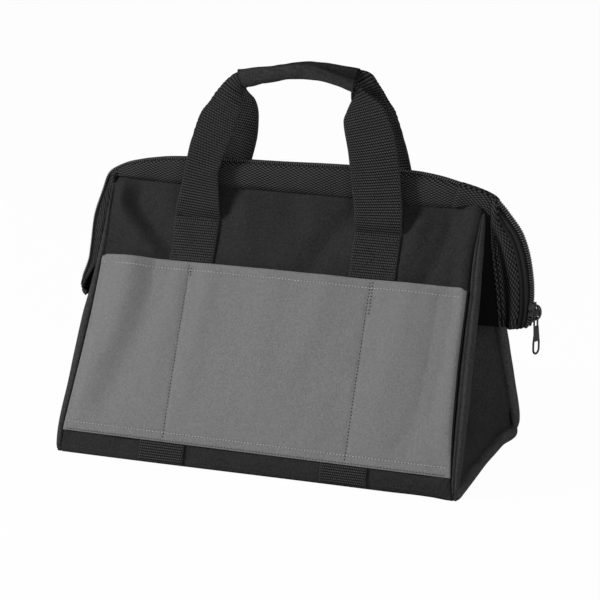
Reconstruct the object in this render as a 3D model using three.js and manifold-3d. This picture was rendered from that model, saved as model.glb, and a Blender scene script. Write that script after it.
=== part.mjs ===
// A zippered tool bag: two leaning panels on a flat base, tucked side gussets, a zipped mouth whose ends
// hang down as ears, outside pockets and two webbing handles with sewn grips.
// Millimetres, +X to the right, -Y to the front, +Z up, the origin under the middle of the base.
import * as THREE from "three";
import { mergeVertices } from "three/addons/utils/BufferGeometryUtils.js";
import Module from "manifold-3d";

const wasm = await Module();
wasm.setup();

// The body
const bagLength = 330; // along the bottom edge, over the bound seams
const bagDepth = 182; // front to back along the bottom
const mouthHeight = 204; // from the floor to the upper edge of the panels
const mouthLength = 304.6; // along the upper edge, over the bound seams
const mouthGap = 8.4; // between the outer faces of the two panels at the upper edge
const clothThickness = 1.2;
const seamGap = 0.3; // between pieces that are sewn or laid together

// The bound seams round each gusset
const bindingWidth = 9.5; // at the bottom
const bindingTopWidth = 6;
const bindingDepth = 7; // behind the panel's outer face, at the bottom
const bindingProud = 0.8; // in front of the panel's outer face
const bindingRound = 1.8; // the chamfer that rounds the roll

// The outside pockets
const pocketFoot = 17.4; // up the slope to the lower edge
const pocketTop = 159; // up the slope to the hemmed upper edge
const pocketThickness = 1;

// The webbing, its sewn legs and the handle loops
const webbingWidth = 38;
const webbingThickness = 1.6;
const legSpacing = 151; // between the centres of a handle's two legs
const stitchHeight = 195; // up the slope to the last stitch line
const handleTop = 296.2; // the middle of the grip above the floor
const handleLean = 7; // from the middle plane to a grip's centre
const riserOffset = 15.8; // from the middle plane to a riser above its stitch line
const gripLength = 100;
const gripHeight = 13.6;
const gripDepth = 10.5;
const gripCrown = 6.4; // the rise of the grip from its ends to its middle
const foldedHeight = 12; // of the webbing where it is folded inside the sleeve
const foldedDepth = 6.5;
const sleeveRound = 1.5; // the chamfer along the sleeve

// The mouth: its webbing band, the zip tape and the zip's coil
const bandWidth = 25;
const bandThickness = 1.8;
const bandLap = 2.5; // lost where the band is turned over the tape
const crownDrop = 9.9; // from the middle of the mouth to its corners
const coilWidth = 3; // of one half, across the mouth
const coilHeight = 2.4;
const meshGap = 0.2; // between the two halves of the coil
const tapeThickness = 0.6;
const tapeWidth = 13;
const tapeTuck = 4; // of the tape's width that shows where an ear leaves the mouth's corner
const topReveal = 1; // of tape between the band and the coil on the mouth
const earReveal = 6; // of tape between the band and the coil on the ears

// The ears: the ends of the zip, hanging outside the gussets
// shoulder and rise: the knee of the zip line past and above the panel's corner; radius and angle: the arc
// from the knee to the tip; upper and lower: the band's inner edge past the panel's corner, high and low
const rightEar = {
  side: 1,
  shoulder: 12.6,
  rise: 9.5,
  radius: 123.5,
  angle: 40,
  upper: 8.9,
  lower: 18,
};
const leftEar = {
  side: -1,
  shoulder: 7.5,
  rise: 1,
  radius: 181,
  angle: 27.3,
  upper: 3.4,
  lower: 10,
};
const earDrop = bagDepth / 2; // half of a gusset's upper edge hangs down as one side of an ear
const earFold = 13; // from the panel's upper edge down to where the band's inner edge runs straight
const earSteps = 8;

// The gussets
const gussetThickness = 1.2;
const gussetTuck = 62; // how far the middle of a gusset is pushed in, level with the ear's tip
const gussetFootTuck = 4; // the same at the base
const gussetColumns = 12;
const gussetLowerRows = 5;
const gussetUpperRows = 4;

// The base
const boardThickness = 3;
const boardMargin = 9; // from the board's edge to the outside of the bag

// The zip slider and its pull
const sliderLength = 15;
const sliderPlate = 1;
const sliderClearance = 0.4;
const sliderSkirt = 1.1; // thickness of the two turned-in sides
const sliderHeight = 13.5; // above the ear's tip
const bailRadius = 4.2;
const bailBar = 0.8; // radius of the bail's bar
const bailLeg = 1.9;
const pullLength = 31;
const pullThickness = 1.2;
const pullTwist = 18; // degrees, as it hangs
const pullEyeWidth = 2.8;
const pullEyeLength = 6.8;
const pullRim = 1.2;
const pullRingWidth = 9;
const pullRingWall = 1.7;
const pullRingLength = 12.5;

const degrees = Math.PI / 180;
const halfLength = bagLength / 2;
const halfMouth = mouthLength / 2;
const halfDepth = bagDepth / 2;
const mouthReach = halfDepth - mouthGap / 2;
const lean = Math.atan2(mouthReach, mouthHeight);
const slopeLength = Math.hypot(mouthReach, mouthHeight);
const bindingTopDepth = mouthGap / 2 - clothThickness - seamGap;
const tipHeight = mouthHeight - earDrop;
const mouthSplit = halfMouth - 1;
const crownHeight = mouthHeight + bandWidth - bandLap;
const panelFoot = clothThickness + bindingTopDepth / 2;
const coilOuter = coilWidth + meshGap / 2;
const bandInner = coilOuter + meshGap / 2;

const cloth = new THREE.MeshStandardMaterial({ color: 0x26282a, roughness: 0.85, metalness: 0 });
const pocketCloth = new THREE.MeshStandardMaterial({ color: 0x757575, roughness: 0.85, metalness: 0 });
const webbing = new THREE.MeshStandardMaterial({ color: 0x1c1d1f, roughness: 0.8, metalness: 0 });
const meshBand = new THREE.MeshStandardMaterial({ color: 0x232426, roughness: 0.85, metalness: 0 });
const zipTape = new THREE.MeshStandardMaterial({ color: 0x1a1a1b, roughness: 0.8, metalness: 0 });
const zipCoil = new THREE.MeshStandardMaterial({ color: 0x141414, roughness: 0.45, metalness: 0 });
const coatedMetal = new THREE.MeshStandardMaterial({ color: 0x2e2e2e, roughness: 0.4, metalness: 0.6 });
const fibreboard = new THREE.MeshStandardMaterial({ color: 0x3a3a3a, roughness: 0.9, metalness: 0 });

const mix = (a, b, t) => a + (b - a) * t;
const edgeHalf = (s) => mix(halfLength, halfMouth, s / slopeLength);
const bindingAt = (s) => mix(bindingWidth, bindingTopWidth, s / slopeLength);
const bindingDepthAt = (s) => mix(bindingDepth, bindingTopDepth, s / slopeLength);
const seamHalf = (s) => edgeHalf(s) - bindingAt(s);
const crownAt = (x) => crownHeight - crownDrop * Math.pow(Math.abs(x) / halfMouth, 4);

function piece(name, geometry, material) {
  const mesh = new THREE.Mesh(geometry, material);
  mesh.name = name;
  return mesh;
}

// A closed solid through a row of rings of points; each ring runs the same way round.
function loft(rings) {
  const count = rings[0].length;
  const positions = rings.flat().flatMap((p) => [p.x, p.y, p.z]);
  const index = [];
  for (let r = 0; r + 1 < rings.length; r += 1) {
    for (let i = 0; i < count; i += 1) {
      const j = (i + 1) % count;
      const a = r * count;
      const b = a + count;
      index.push(a + i, a + j, b + j, a + i, b + j, b + i);
    }
  }
  const last = (rings.length - 1) * count;
  for (let i = 1; i + 1 < count; i += 1) {
    index.push(0, i + 1, i, last, last + i, last + i + 1);
  }
  return outward(positions, index);
}

// A sheet with thickness from a grid of points; `shift` leads from the first face to the second.
function sheet(grid, shift) {
  const rows = grid.length;
  const columns = grid[0].length;
  const face = grid.flat();
  const positions = [...face, ...face.map((p) => p.clone().add(shift))].flatMap((p) => [p.x, p.y, p.z]);
  const far = face.length;
  const index = [];
  for (let r = 0; r + 1 < rows; r += 1) {
    for (let c = 0; c + 1 < columns; c += 1) {
      const a = r * columns + c;
      const b = a + columns;
      index.push(a, b + 1, a + 1, a, b, b + 1);
      index.push(far + a, far + a + 1, far + b + 1, far + a, far + b + 1, far + b);
    }
  }
  const rim = [];
  for (let c = 0; c + 1 < columns; c += 1) rim.push(c);
  for (let r = 0; r + 1 < rows; r += 1) rim.push(r * columns + columns - 1);
  for (let c = columns - 1; c > 0; c -= 1) rim.push((rows - 1) * columns + c);
  for (let r = rows - 1; r > 0; r -= 1) rim.push(r * columns);
  for (let i = 0; i < rim.length; i += 1) {
    const a = rim[i];
    const b = rim[(i + 1) % rim.length];
    index.push(a, b, far + b, a, far + b, far + a);
  }
  return outward(positions, index);
}

// The indexed triangles as a geometry, turned so that the volume inside is positive.
function outward(positions, index) {
  let volume = 0;
  const p = new THREE.Vector3();
  const q = new THREE.Vector3();
  const r = new THREE.Vector3();
  for (let i = 0; i < index.length; i += 3) {
    p.fromArray(positions, index[i] * 3);
    q.fromArray(positions, index[i + 1] * 3);
    r.fromArray(positions, index[i + 2] * 3);
    volume += p.dot(q.cross(r));
  }
  if (volume < 0) {
    for (let i = 0; i < index.length; i += 3) {
      [index[i + 1], index[i + 2]] = [index[i + 2], index[i + 1]];
    }
  }
  const geometry = new THREE.BufferGeometry();
  geometry.setAttribute("position", new THREE.Float32BufferAttribute(positions, 3));
  geometry.setIndex(index);
  return geometry;
}

// A flat piece cut from an outline and given a thickness.
function plate(points, thickness, holes = []) {
  const shape = new THREE.Shape(points.map(([x, y]) => new THREE.Vector2(x, y)));
  for (const hole of holes) shape.holes.push(new THREE.Path(hole.map(([x, y]) => new THREE.Vector2(x, y))));
  return new THREE.ExtrudeGeometry(shape, { depth: thickness, bevelEnabled: false });
}

function toSolid(geometry) {
  const bare = geometry.clone();
  bare.deleteAttribute("normal");
  bare.deleteAttribute("uv");
  const welded = mergeVertices(bare, 1e-4);
  return new wasm.Manifold(
    new wasm.Mesh({
      numProp: 3,
      vertProperties: new Float32Array(welded.attributes.position.array),
      triVerts: new Uint32Array(welded.index.array),
    }),
  );
}

function join(parts) {
  return toGeometry(parts.map(toSolid).reduce((whole, part) => whole.add(part)));
}

function cut(whole, part) {
  return toGeometry(toSolid(whole).subtract(toSolid(part)));
}

function toGeometry(solid) {
  const mesh = solid.getMesh();
  const geometry = new THREE.BufferGeometry();
  geometry.setAttribute("position", new THREE.Float32BufferAttribute(mesh.vertProperties, 3));
  geometry.setIndex(Array.from(mesh.triVerts));
  return geometry;
}

// An upright flat piece: the outline is drawn in X and Z, the thickness goes to the front of `near`.
function upright(name, points, near, thickness, material) {
  const mesh = piece(name, plate(points, thickness), material);
  mesh.rotation.x = 90 * degrees;
  mesh.position.y = -near;
  return mesh;
}

// One long side of the bag, drawn as the front one. Its slope group has X along the bag, Y up the slope
// and Z out of the panel; the back is the same side turned half round.
function bagSide(prefix, sides) {
  const side = new THREE.Group();
  const slope = new THREE.Group();
  slope.position.y = -halfDepth;
  slope.rotation.x = 90 * degrees - lean;
  side.add(slope);
  slope.add(panel(prefix));
  slope.add(pocketPanel(prefix));
  for (const [turn, name] of sides) {
    slope.add(sideBinding(`${prefix}_${name}_binding`, turn));
    slope.add(webbingLeg(`${prefix}_${name}_webbing`, turn));
  }
  side.add(mouthBand(prefix));
  side.add(mouthTape(prefix));
  side.add(mouthCoil(prefix));
  side.add(handleLoop(prefix));
  side.add(gripSleeve(prefix));
  return side;
}

function panel(prefix) {
  const foot = seamHalf(panelFoot);
  const head = seamHalf(slopeLength);
  const outline = [
    [-foot, panelFoot],
    [foot, panelFoot],
    [head, slopeLength],
    [-head, slopeLength],
  ];
  const mesh = piece(`${prefix}_panel`, plate(outline, clothThickness), cloth);
  mesh.position.z = -clothThickness;
  return mesh;
}

function pocketPanel(prefix) {
  const foot = seamHalf(pocketFoot) - seamGap;
  const head = seamHalf(pocketTop) - seamGap;
  const outline = [
    [-foot, pocketFoot],
    [foot, pocketFoot],
    [head, pocketTop],
    [-head, pocketTop],
  ];
  const mesh = piece(`${prefix}_pocket_panel`, plate(outline, pocketThickness), pocketCloth);
  mesh.position.z = webbingThickness + 2 * seamGap;
  return mesh;
}

// The rolled and bound seam down one end of a panel.
function sideBinding(name, turn) {
  const start = (bindingWidth + seamGap + bindingDepth * Math.sin(lean)) / Math.cos(lean);
  const end = slopeLength - 1;
  const rings = [];
  for (const s of [start, slopeLength / 3, (slopeLength * 2) / 3, end]) {
    const inner = seamHalf(s) + seamGap;
    const outer = edgeHalf(s);
    const chamfer = Math.min(bindingRound, bindingDepthAt(s) / 2);
    const back = -bindingDepthAt(s);
    const section = [
      [inner, back + chamfer],
      [inner, bindingProud - chamfer / 2],
      [inner + chamfer, bindingProud],
      [outer - chamfer, bindingProud],
      [outer, bindingProud - chamfer],
      [outer, back + chamfer],
      [outer - chamfer, back],
      [inner + chamfer, back],
    ];
    rings.push(section.map(([x, z]) => new THREE.Vector3(turn * x, s, z)));
  }
  return piece(name, loft(rings), cloth);
}

// The webbing sewn flat on the panel from its foot to the stitch line.
function webbingLeg(name, turn) {
  const length = stitchHeight - panelFoot;
  const mesh = piece(name, new THREE.BoxGeometry(webbingWidth, length, webbingThickness), webbing);
  mesh.position.set((turn * legSpacing) / 2, panelFoot + length / 2, seamGap + webbingThickness / 2);
  return mesh;
}

// The mouth's crowned upper line from one end to the other, lowered by `drop`.
function crownLine(drop, half) {
  const line = [];
  const steps = 16;
  for (let i = 0; i <= steps; i += 1) {
    const x = mix(half, -half, i / steps);
    line.push([x, crownAt(x) - drop]);
  }
  return line;
}

function mouthBand(prefix) {
  const half = mouthSplit - seamGap / 2;
  const foot = mouthHeight + seamGap;
  const outline = [[-half, foot], [half, foot], ...crownLine(coilHeight + topReveal, half)];
  return upright(`${prefix}_mouth_band`, outline, bandInner, bandThickness, meshBand);
}

function mouthTape(prefix) {
  const half = mouthSplit - seamGap / 2;
  const top = crownLine(coilHeight + seamGap, half);
  const foot = mouthHeight + seamGap;
  const lower = crownLine(coilHeight + seamGap + tapeWidth, half).reverse();
  const bottom = lower.map(([x, z]) => [x, Math.max(z, foot)]);
  const near = bandInner - seamGap - tapeThickness;
  return upright(`${prefix}_zip_tape`, [...bottom, ...top], near, tapeThickness, zipTape);
}

function mouthCoil(prefix) {
  const half = mouthSplit - seamGap / 2;
  const outline = [...crownLine(coilHeight, half).reverse(), ...crownLine(0, half)];
  return upright(`${prefix}_zip_coil`, outline, meshGap / 2, coilWidth, zipCoil);
}

// The loop of a handle as a row of places: the middle of the webbing, its half width and half thickness.
function handlePath() {
  const foot = stitchHeight + seamGap;
  const footOut = seamGap + webbingThickness / 2;
  const footY = -halfDepth + foot * Math.sin(lean) - footOut * Math.cos(lean);
  const footZ = foot * Math.cos(lean) + footOut * Math.sin(lean);
  const rise = handleTop - footZ;
  const legX = legSpacing / 2;
  const gripEnd = gripLength / 2;
  const flat = [webbingWidth / 2, webbingThickness / 2];
  const folded = [foldedHeight / 2, foldedDepth / 2];
  const riser = [
    [legX, footY, 0, flat],
    [legX, riserOffset, 0.1, flat],
    [legX, mix(riserOffset, handleLean, 0.1), 0.26, flat],
    [mix(legX, gripEnd, 0.3), mix(riserOffset, handleLean, 0.35), 0.44, flat],
    [mix(legX, gripEnd, 0.5), mix(riserOffset, handleLean, 0.62), 0.64, [flat[0] * 0.95, flat[1]]],
    [mix(legX, gripEnd, 0.7), mix(riserOffset, handleLean, 0.84), 0.81, [flat[0] * 0.68, flat[1] * 2]],
  ];
  const places = riser.map(([x, y, t, size]) => ({
    x,
    y: t === 0 ? y : -y,
    z: footZ + rise * t,
    size,
  }));
  const turnIn = gripHeight * 0.4;
  places.push({ x: gripEnd + turnIn, y: -handleLean, z: handleTop - gripCrown - turnIn, size: folded });
  const gripSteps = 5;
  for (let i = 0; i <= gripSteps; i += 1) {
    const t = 1 - i / gripSteps;
    places.push({ x: gripEnd * t, y: -handleLean, z: handleTop - gripCrown * t * t, size: folded });
  }
  const mirrored = places.slice(0, -1).reverse().map((place) => ({ ...place, x: -place.x }));
  return [...places, ...mirrored];
}

// The direction across the webbing at place `i`, square to its run and to Y.
function acrossAt(path, i) {
  const before = path[Math.max(i - 1, 0)];
  const after = path[Math.min(i + 1, path.length - 1)];
  const run = new THREE.Vector3(after.x - before.x, 0, after.z - before.z).normalize();
  return new THREE.Vector3(run.z, 0, -run.x);
}

function handleLoop(prefix) {
  const path = handlePath();
  const rings = path.map(({ x, y, z, size }, i) => {
    const centre = new THREE.Vector3(x, y, z);
    const end = i === 0 || i === path.length - 1;
    const across = end ? new THREE.Vector3(i === 0 ? 1 : -1, 0, 0) : acrossAt(path, i);
    const [width, depth] = size;
    return [
      [width, depth],
      [-width, depth],
      [-width, -depth],
      [width, -depth],
    ].map(([a, b]) => centre.clone().addScaledVector(across, a).add(new THREE.Vector3(0, b, 0)));
  });
  return piece(`${prefix}_handle_webbing`, loft(rings), webbing);
}

// The sleeve sewn round the folded webbing.
function gripSleeve(prefix) {
  const path = handlePath();
  const rows = path
    .map((place, i) => ({ ...place, across: acrossAt(path, i) }))
    .filter((place) => Math.abs(place.x) < (gripLength + seamGap) / 2);
  const ringAt = (row, shift, section) =>
    section.map(([a, b]) =>
      new THREE.Vector3(row.x + shift, row.y + b, row.z).addScaledVector(row.across, a),
    );
  const height = gripHeight / 2;
  const depth = gripDepth / 2;
  const skin = [
    [height, depth - sleeveRound],
    [height, -depth + sleeveRound],
    [height - sleeveRound, -depth],
    [-height + sleeveRound, -depth],
    [-height, -depth + sleeveRound],
    [-height, depth - sleeveRound],
    [-height + sleeveRound, depth],
    [height - sleeveRound, depth],
  ];
  const boreHeight = foldedHeight / 2 + seamGap;
  const boreDepth = foldedDepth / 2 + seamGap;
  const bore = [
    [boreHeight, boreDepth],
    [boreHeight, -boreDepth],
    [-boreHeight, -boreDepth],
    [-boreHeight, boreDepth],
  ];
  const outer = loft(rows.map((row) => ringAt(row, 0, skin)));
  const inner = loft(rows.map((row, i) => ringAt(row, i === 0 ? 1 : i === rows.length - 1 ? -1 : 0, bore)));
  return piece(`${prefix}_grip_sleeve`, cut(outer, inner), cloth);
}

// The arc of an ear's zip line: its centre, and the angles of the knee and of the tip.
function earArc(ear) {
  const knee = ear.angle * degrees;
  const x = halfMouth + ear.shoulder - ear.radius * Math.cos(knee);
  const z = mouthHeight + ear.rise - ear.radius * Math.sin(knee);
  const tip = Math.asin((tipHeight - z) / ear.radius);
  return { x, z, knee, tip };
}

// The zip line from the mouth's corner over the knee and down to the tip, pulled in by an inset.
function earLine(ear, topInset, tipInset = topInset) {
  const arc = earArc(ear);
  const line = [[mouthSplit + seamGap / 2, crownAt(mouthSplit) - topInset]];
  for (let i = 0; i <= earSteps; i += 1) {
    const angle = mix(arc.knee, arc.tip, i / earSteps);
    const radius = ear.radius - mix(topInset, tipInset, i / earSteps);
    line.push([arc.x + radius * Math.cos(angle), arc.z + radius * Math.sin(angle)]);
  }
  return line;
}

// The edge where the band of an ear meets the gusset, from the mouth's corner to the tip.
function earInnerEdge(ear) {
  return [
    [mouthSplit + seamGap / 2, mouthHeight + seamGap],
    [halfMouth + ear.upper / 2, mouthHeight],
    [halfMouth + ear.upper * 0.8, mouthHeight - earFold / 3],
    [halfMouth + ear.upper, mouthHeight - earFold],
    [halfMouth + ear.lower, tipHeight],
  ];
}

function earHalf(ear, sideName, faceName, turn) {
  const flip = (points) => points.map(([x, z]) => [x * ear.side * turn, z]);
  const bandLine = earLine(ear, coilHeight + topReveal, coilHeight + earReveal);
  const bandOutline = [...bandLine, ...earInnerEdge(ear).reverse()];
  const tapeOutline = [
    ...earLine(ear, coilHeight + seamGap),
    ...earLine(ear, coilHeight + seamGap + tapeTuck, coilHeight + seamGap + tapeWidth).reverse(),
  ];
  const coilOutline = [...earLine(ear, 0), ...earLine(ear, coilHeight).reverse()];
  const tapeNear = bandInner - seamGap - tapeThickness;
  const name = `${sideName}_ear_${faceName}`;
  return [
    upright(`${name}_band`, flip(bandOutline), bandInner, bandThickness, meshBand),
    upright(`${name}_tape`, flip(tapeOutline), tapeNear, tapeThickness, zipTape),
    upright(`${name}_coil`, flip(coilOutline), meshGap / 2, coilWidth, zipCoil),
  ];
}

// A point of the slope frame in the bag's frame, for the front (-1) or the back (1).
function onSlope(x, s, depth, face) {
  const y = -halfDepth + s * Math.sin(lean) + depth * Math.cos(lean);
  const z = s * Math.cos(lean) - depth * Math.sin(lean);
  return new THREE.Vector3(x, -face * y, z);
}

const gussetTop = slopeLength - 9;
const gussetEdgeX = (s) => seamHalf(s) + bindingAt(s) / 2;

function tuckAt(z, top) {
  if (z < tipHeight) return mix(gussetFootTuck, gussetTuck, Math.pow(z / tipHeight, 1.3));
  return mix(gussetTuck, 1, (z - tipHeight) / (top - tipHeight));
}

// A gusset: the tucked triangle between the panels, and the two flaps that run out to the ear's bands.
function gusset(ear, sideName) {
  const foot = (bindingWidth + 3 * seamGap) / Math.cos(lean) + bindingDepth * Math.tan(lean);
  const topZ = onSlope(0, gussetTop, bindingDepthAt(gussetTop) + seamGap, -1).z;
  const slopeOf = (z) => {
    const rough = z / Math.cos(lean);
    return (z + (bindingDepthAt(rough) + seamGap) * Math.sin(lean)) / Math.cos(lean);
  };
  const footZ = onSlope(0, foot, bindingDepthAt(foot) + seamGap, -1).z;
  const heights = [];
  for (let j = 0; j < gussetLowerRows; j += 1) heights.push(mix(footZ, tipHeight, j / gussetLowerRows));
  for (let j = 0; j <= gussetUpperRows; j += 1) heights.push(mix(tipHeight, topZ, j / gussetUpperRows));
  const innerX = (z) => gussetEdgeX(slopeOf(z)) - tuckAt(z, topZ);
  const grid = heights.map((z) => {
    const s = slopeOf(z);
    const edge = onSlope(gussetEdgeX(s), s, bindingDepthAt(s) + seamGap, -1);
    const row = [];
    for (let i = 0; i <= gussetColumns; i += 1) {
      const across = mix(-1, 1, i / gussetColumns);
      const bell = Math.pow(Math.cos((across * Math.PI) / 2), 2);
      row.push(new THREE.Vector3(edge.x - tuckAt(z, topZ) * bell, -edge.y * across, z));
    }
    return row;
  });
  const parts = [sheet(grid, new THREE.Vector3(-gussetThickness, 0, 0))];
  const lap = gussetThickness / 2;
  const flapTop = topZ - gussetThickness;
  const besideSeam = halfMouth + 3 * seamGap;
  const [, , turn, high, low] = earInnerEdge(ear).map(([x, z]) => [x - 2 * seamGap, z]);
  const flap = [
    [innerX(tipHeight) - lap, tipHeight],
    low,
    high,
    turn,
    [besideSeam, mouthHeight - clothThickness],
    [besideSeam, flapTop],
    [innerX(flapTop) - lap, flapTop],
  ];
  for (const face of [-1, 1]) {
    const wall = plate(flap, gussetThickness);
    wall.rotateX(90 * degrees);
    wall.translate(0, face * (bandInner + bandThickness / 2) + gussetThickness / 2, 0);
    parts.push(wall);
  }
  const foldDepth = 2 * bandInner + bandThickness;
  const foldLength = low[0] - innerX(tipHeight) + lap;
  const fold = new THREE.BoxGeometry(foldLength, foldDepth, gussetThickness);
  fold.translate(low[0] - foldLength / 2, 0, tipHeight + gussetThickness / 2);
  parts.push(fold);
  const whole = join(parts);
  if (ear.side < 0) whole.rotateZ(180 * degrees);
  return piece(`${sideName}_gusset`, whole, cloth);
}

function basePieces() {
  const outerZ = clothThickness;
  const width = 2 * (seamHalf(0) - seamGap);
  const depth = bagDepth - 2 * seamGap;
  const panelMesh = piece("base_panel", new THREE.BoxGeometry(width, depth, outerZ), cloth);
  panelMesh.position.z = outerZ / 2;
  const boardDepth = bagDepth - 2 * boardMargin;
  const boardLength = width - 2 * boardMargin;
  const boardBox = new THREE.BoxGeometry(boardLength, boardDepth, boardThickness);
  const board = piece("base_board", boardBox, fibreboard);
  board.position.z = outerZ + seamGap + boardThickness / 2;
  return [panelMesh, board, baseBinding("right_base_binding", 1), baseBinding("left_base_binding", -1)];
}

// The bound seam along one end of the base.
function baseBinding(name, turn) {
  const inner = seamHalf(0) + seamGap / 2;
  const section = [
    [inner, 0],
    [halfLength - bindingRound, 0],
    [halfLength, bindingRound],
    [halfLength, bindingWidth - bindingRound],
    [halfLength - bindingRound, bindingWidth],
    [inner, bindingWidth],
  ].map(([x, z]) => [x * turn, z]);
  const reach = halfDepth - bindingWidth / 2;
  const geometry = plate(section, 2 * reach);
  const mesh = piece(name, geometry, cloth);
  mesh.rotation.x = 90 * degrees;
  mesh.position.y = reach;
  return mesh;
}

// The slider's frame has X out of the ear and Z up along the zip, with its origin at the arc's centre.
function sliderFrame() {
  const arc = earArc(rightEar);
  const frame = new THREE.Group();
  const angle = Math.asin((tipHeight + sliderHeight - arc.z) / rightEar.radius);
  frame.position.set(arc.x, 0, arc.z);
  frame.rotation.y = -angle;
  return { frame, arc, angle };
}

// Turns a plate drawn in X and Y so that it is drawn in Y and Z and gets its thickness along X.
function faceOut(geometry) {
  const [x, y, z] = [new THREE.Vector3(1, 0, 0), new THREE.Vector3(0, 1, 0), new THREE.Vector3(0, 0, 1)];
  return geometry.applyMatrix4(new THREE.Matrix4().makeBasis(y, z, x));
}

function box(x0, x1, y0, y1, z0, z1) {
  const geometry = new THREE.BoxGeometry(x1 - x0, y1 - y0, z1 - z0);
  geometry.translate((x0 + x1) / 2, (y0 + y1) / 2, (z0 + z1) / 2);
  return geometry;
}

function sliderBody() {
  const half = sliderLength / 2;
  const inside = coilOuter + sliderClearance;
  const outside = inside + sliderSkirt;
  const face = seamGap + sliderPlate;
  const nose = sliderLength / 7;
  const top = [
    [-outside, -half + nose],
    [-outside + nose, -half],
    [outside - nose, -half],
    [outside, -half + nose],
    [outside, half - nose],
    [outside - nose, half],
    [-outside + nose, half],
    [-outside, half - nose],
  ];
  const topPlate = faceOut(plate(top, sliderPlate));
  topPlate.translate(seamGap, 0, 0);
  const skirtReach = coilHeight + seamGap;
  const skirts = [-1, 1].map((face) => {
    const ends = [face * inside, face * outside].sort((a, b) => a - b);
    return box(-skirtReach, seamGap + sliderPlate / 2, ends[0], ends[1], -half + nose, half - nose);
  });
  return join([topPlate, ...skirts, bail(face)]);
}

// The half-round bail that the pull hangs on.
function bail(face) {
  const centre = face + bailLeg;
  const spine = [[face - sliderPlate / 2, -bailRadius, 0]];
  const steps = 10;
  for (let i = 0; i <= steps; i += 1) {
    const angle = mix(-90, 90, i / steps) * degrees;
    spine.push([centre + bailRadius * Math.cos(angle), bailRadius * Math.sin(angle), angle + 90 * degrees]);
  }
  spine.push([face - sliderPlate / 2, bailRadius, Math.PI]);
  const rings = spine.map(([x, z, heading]) => {
    const normal = new THREE.Vector3(Math.sin(heading), 0, -Math.cos(heading));
    const ring = [];
    for (let i = 0; i < 8; i += 1) {
      const turn = (i + 0.5) * 45 * degrees;
      const point = new THREE.Vector3(x, bailBar * Math.sin(turn), z);
      ring.push(point.addScaledVector(normal, bailBar * Math.cos(turn)));
    }
    return ring;
  });
  return loft(rings);
}

// An upright oval: two half rounds joined by straight sides.
function oval(halfWidth, top, bottom, steps) {
  const points = [];
  for (let i = 0; i <= steps; i += 1) {
    const angle = mix(0, 180, i / steps) * degrees;
    points.push([halfWidth * Math.cos(angle), top - halfWidth + halfWidth * Math.sin(angle)]);
  }
  for (let i = 0; i <= steps; i += 1) {
    const angle = mix(180, 360, i / steps) * degrees;
    points.push([halfWidth * Math.cos(angle), bottom + halfWidth + halfWidth * Math.sin(angle)]);
  }
  return points;
}

// The flat pull: an eye at the top round the bail, a narrow neck and a wide ring at the bottom.
function pullPlate() {
  const eyeTop = -bailRadius + pullEyeWidth / 2;
  const eyeBottom = eyeTop - pullEyeLength;
  const neck = pullEyeWidth / 2 + pullRim;
  const ringHalf = pullRingWidth / 2;
  const ringTop = -pullLength + pullRingLength;
  const top = oval(neck, eyeTop + pullRim, eyeBottom, 6).slice(0, 7);
  const ring = oval(ringHalf, ringTop, -pullLength, 8).slice(9);
  const outline = [...top, [-neck, eyeBottom], ...ring, [neck, eyeBottom]];
  const hole = oval(ringHalf - pullRingWall, ringTop - pullRingWall, -pullLength + pullRingWall, 6);
  const eye = oval(pullEyeWidth / 2, eyeTop, eyeBottom, 5);
  const geometry = faceOut(plate(outline, pullThickness, [eye, hole]));
  geometry.translate(-pullThickness / 2, 0, 0);
  geometry.rotateZ(-pullTwist * degrees);
  return geometry;
}

function sliderPieces() {
  const { frame, arc, angle } = sliderFrame();
  const slider = piece("zip_slider", sliderBody(), coatedMetal);
  slider.position.x = rightEar.radius;
  frame.add(slider);
  const reach = rightEar.radius + seamGap + sliderPlate + bailLeg;
  const pull = piece("zip_pull", pullPlate(), coatedMetal);
  pull.position.set(arc.x + reach * Math.cos(angle), 0, arc.z + reach * Math.sin(angle));
  return [frame, pull];
}

const bag = new THREE.Group();
bag.add(bagSide("front", [[1, "right"], [-1, "left"]]));
const back = bagSide("back", [[1, "left"], [-1, "right"]]);
back.rotation.z = 180 * degrees;
bag.add(back);
for (const [ear, sideName] of [[rightEar, "right"], [leftEar, "left"]]) {
  bag.add(...earHalf(ear, sideName, "front", 1));
  const rear = new THREE.Group();
  rear.rotation.z = 180 * degrees;
  rear.add(...earHalf(ear, sideName, "back", -1));
  bag.add(rear);
  bag.add(gusset(ear, sideName));
}
bag.add(...basePieces());
bag.add(...sliderPieces());

export default bag;
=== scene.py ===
"""The looks of a zippered tool bag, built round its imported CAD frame.

Sizes in the tables and in the functions that make the pieces are millimetres. A piece is brought to metres
when it is finished, and what the frame, the lamps and the camera are given is in metres.
"""

import bisect
import math

import bmesh
import bpy
from mathutils import Matrix, Vector, noise


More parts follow.
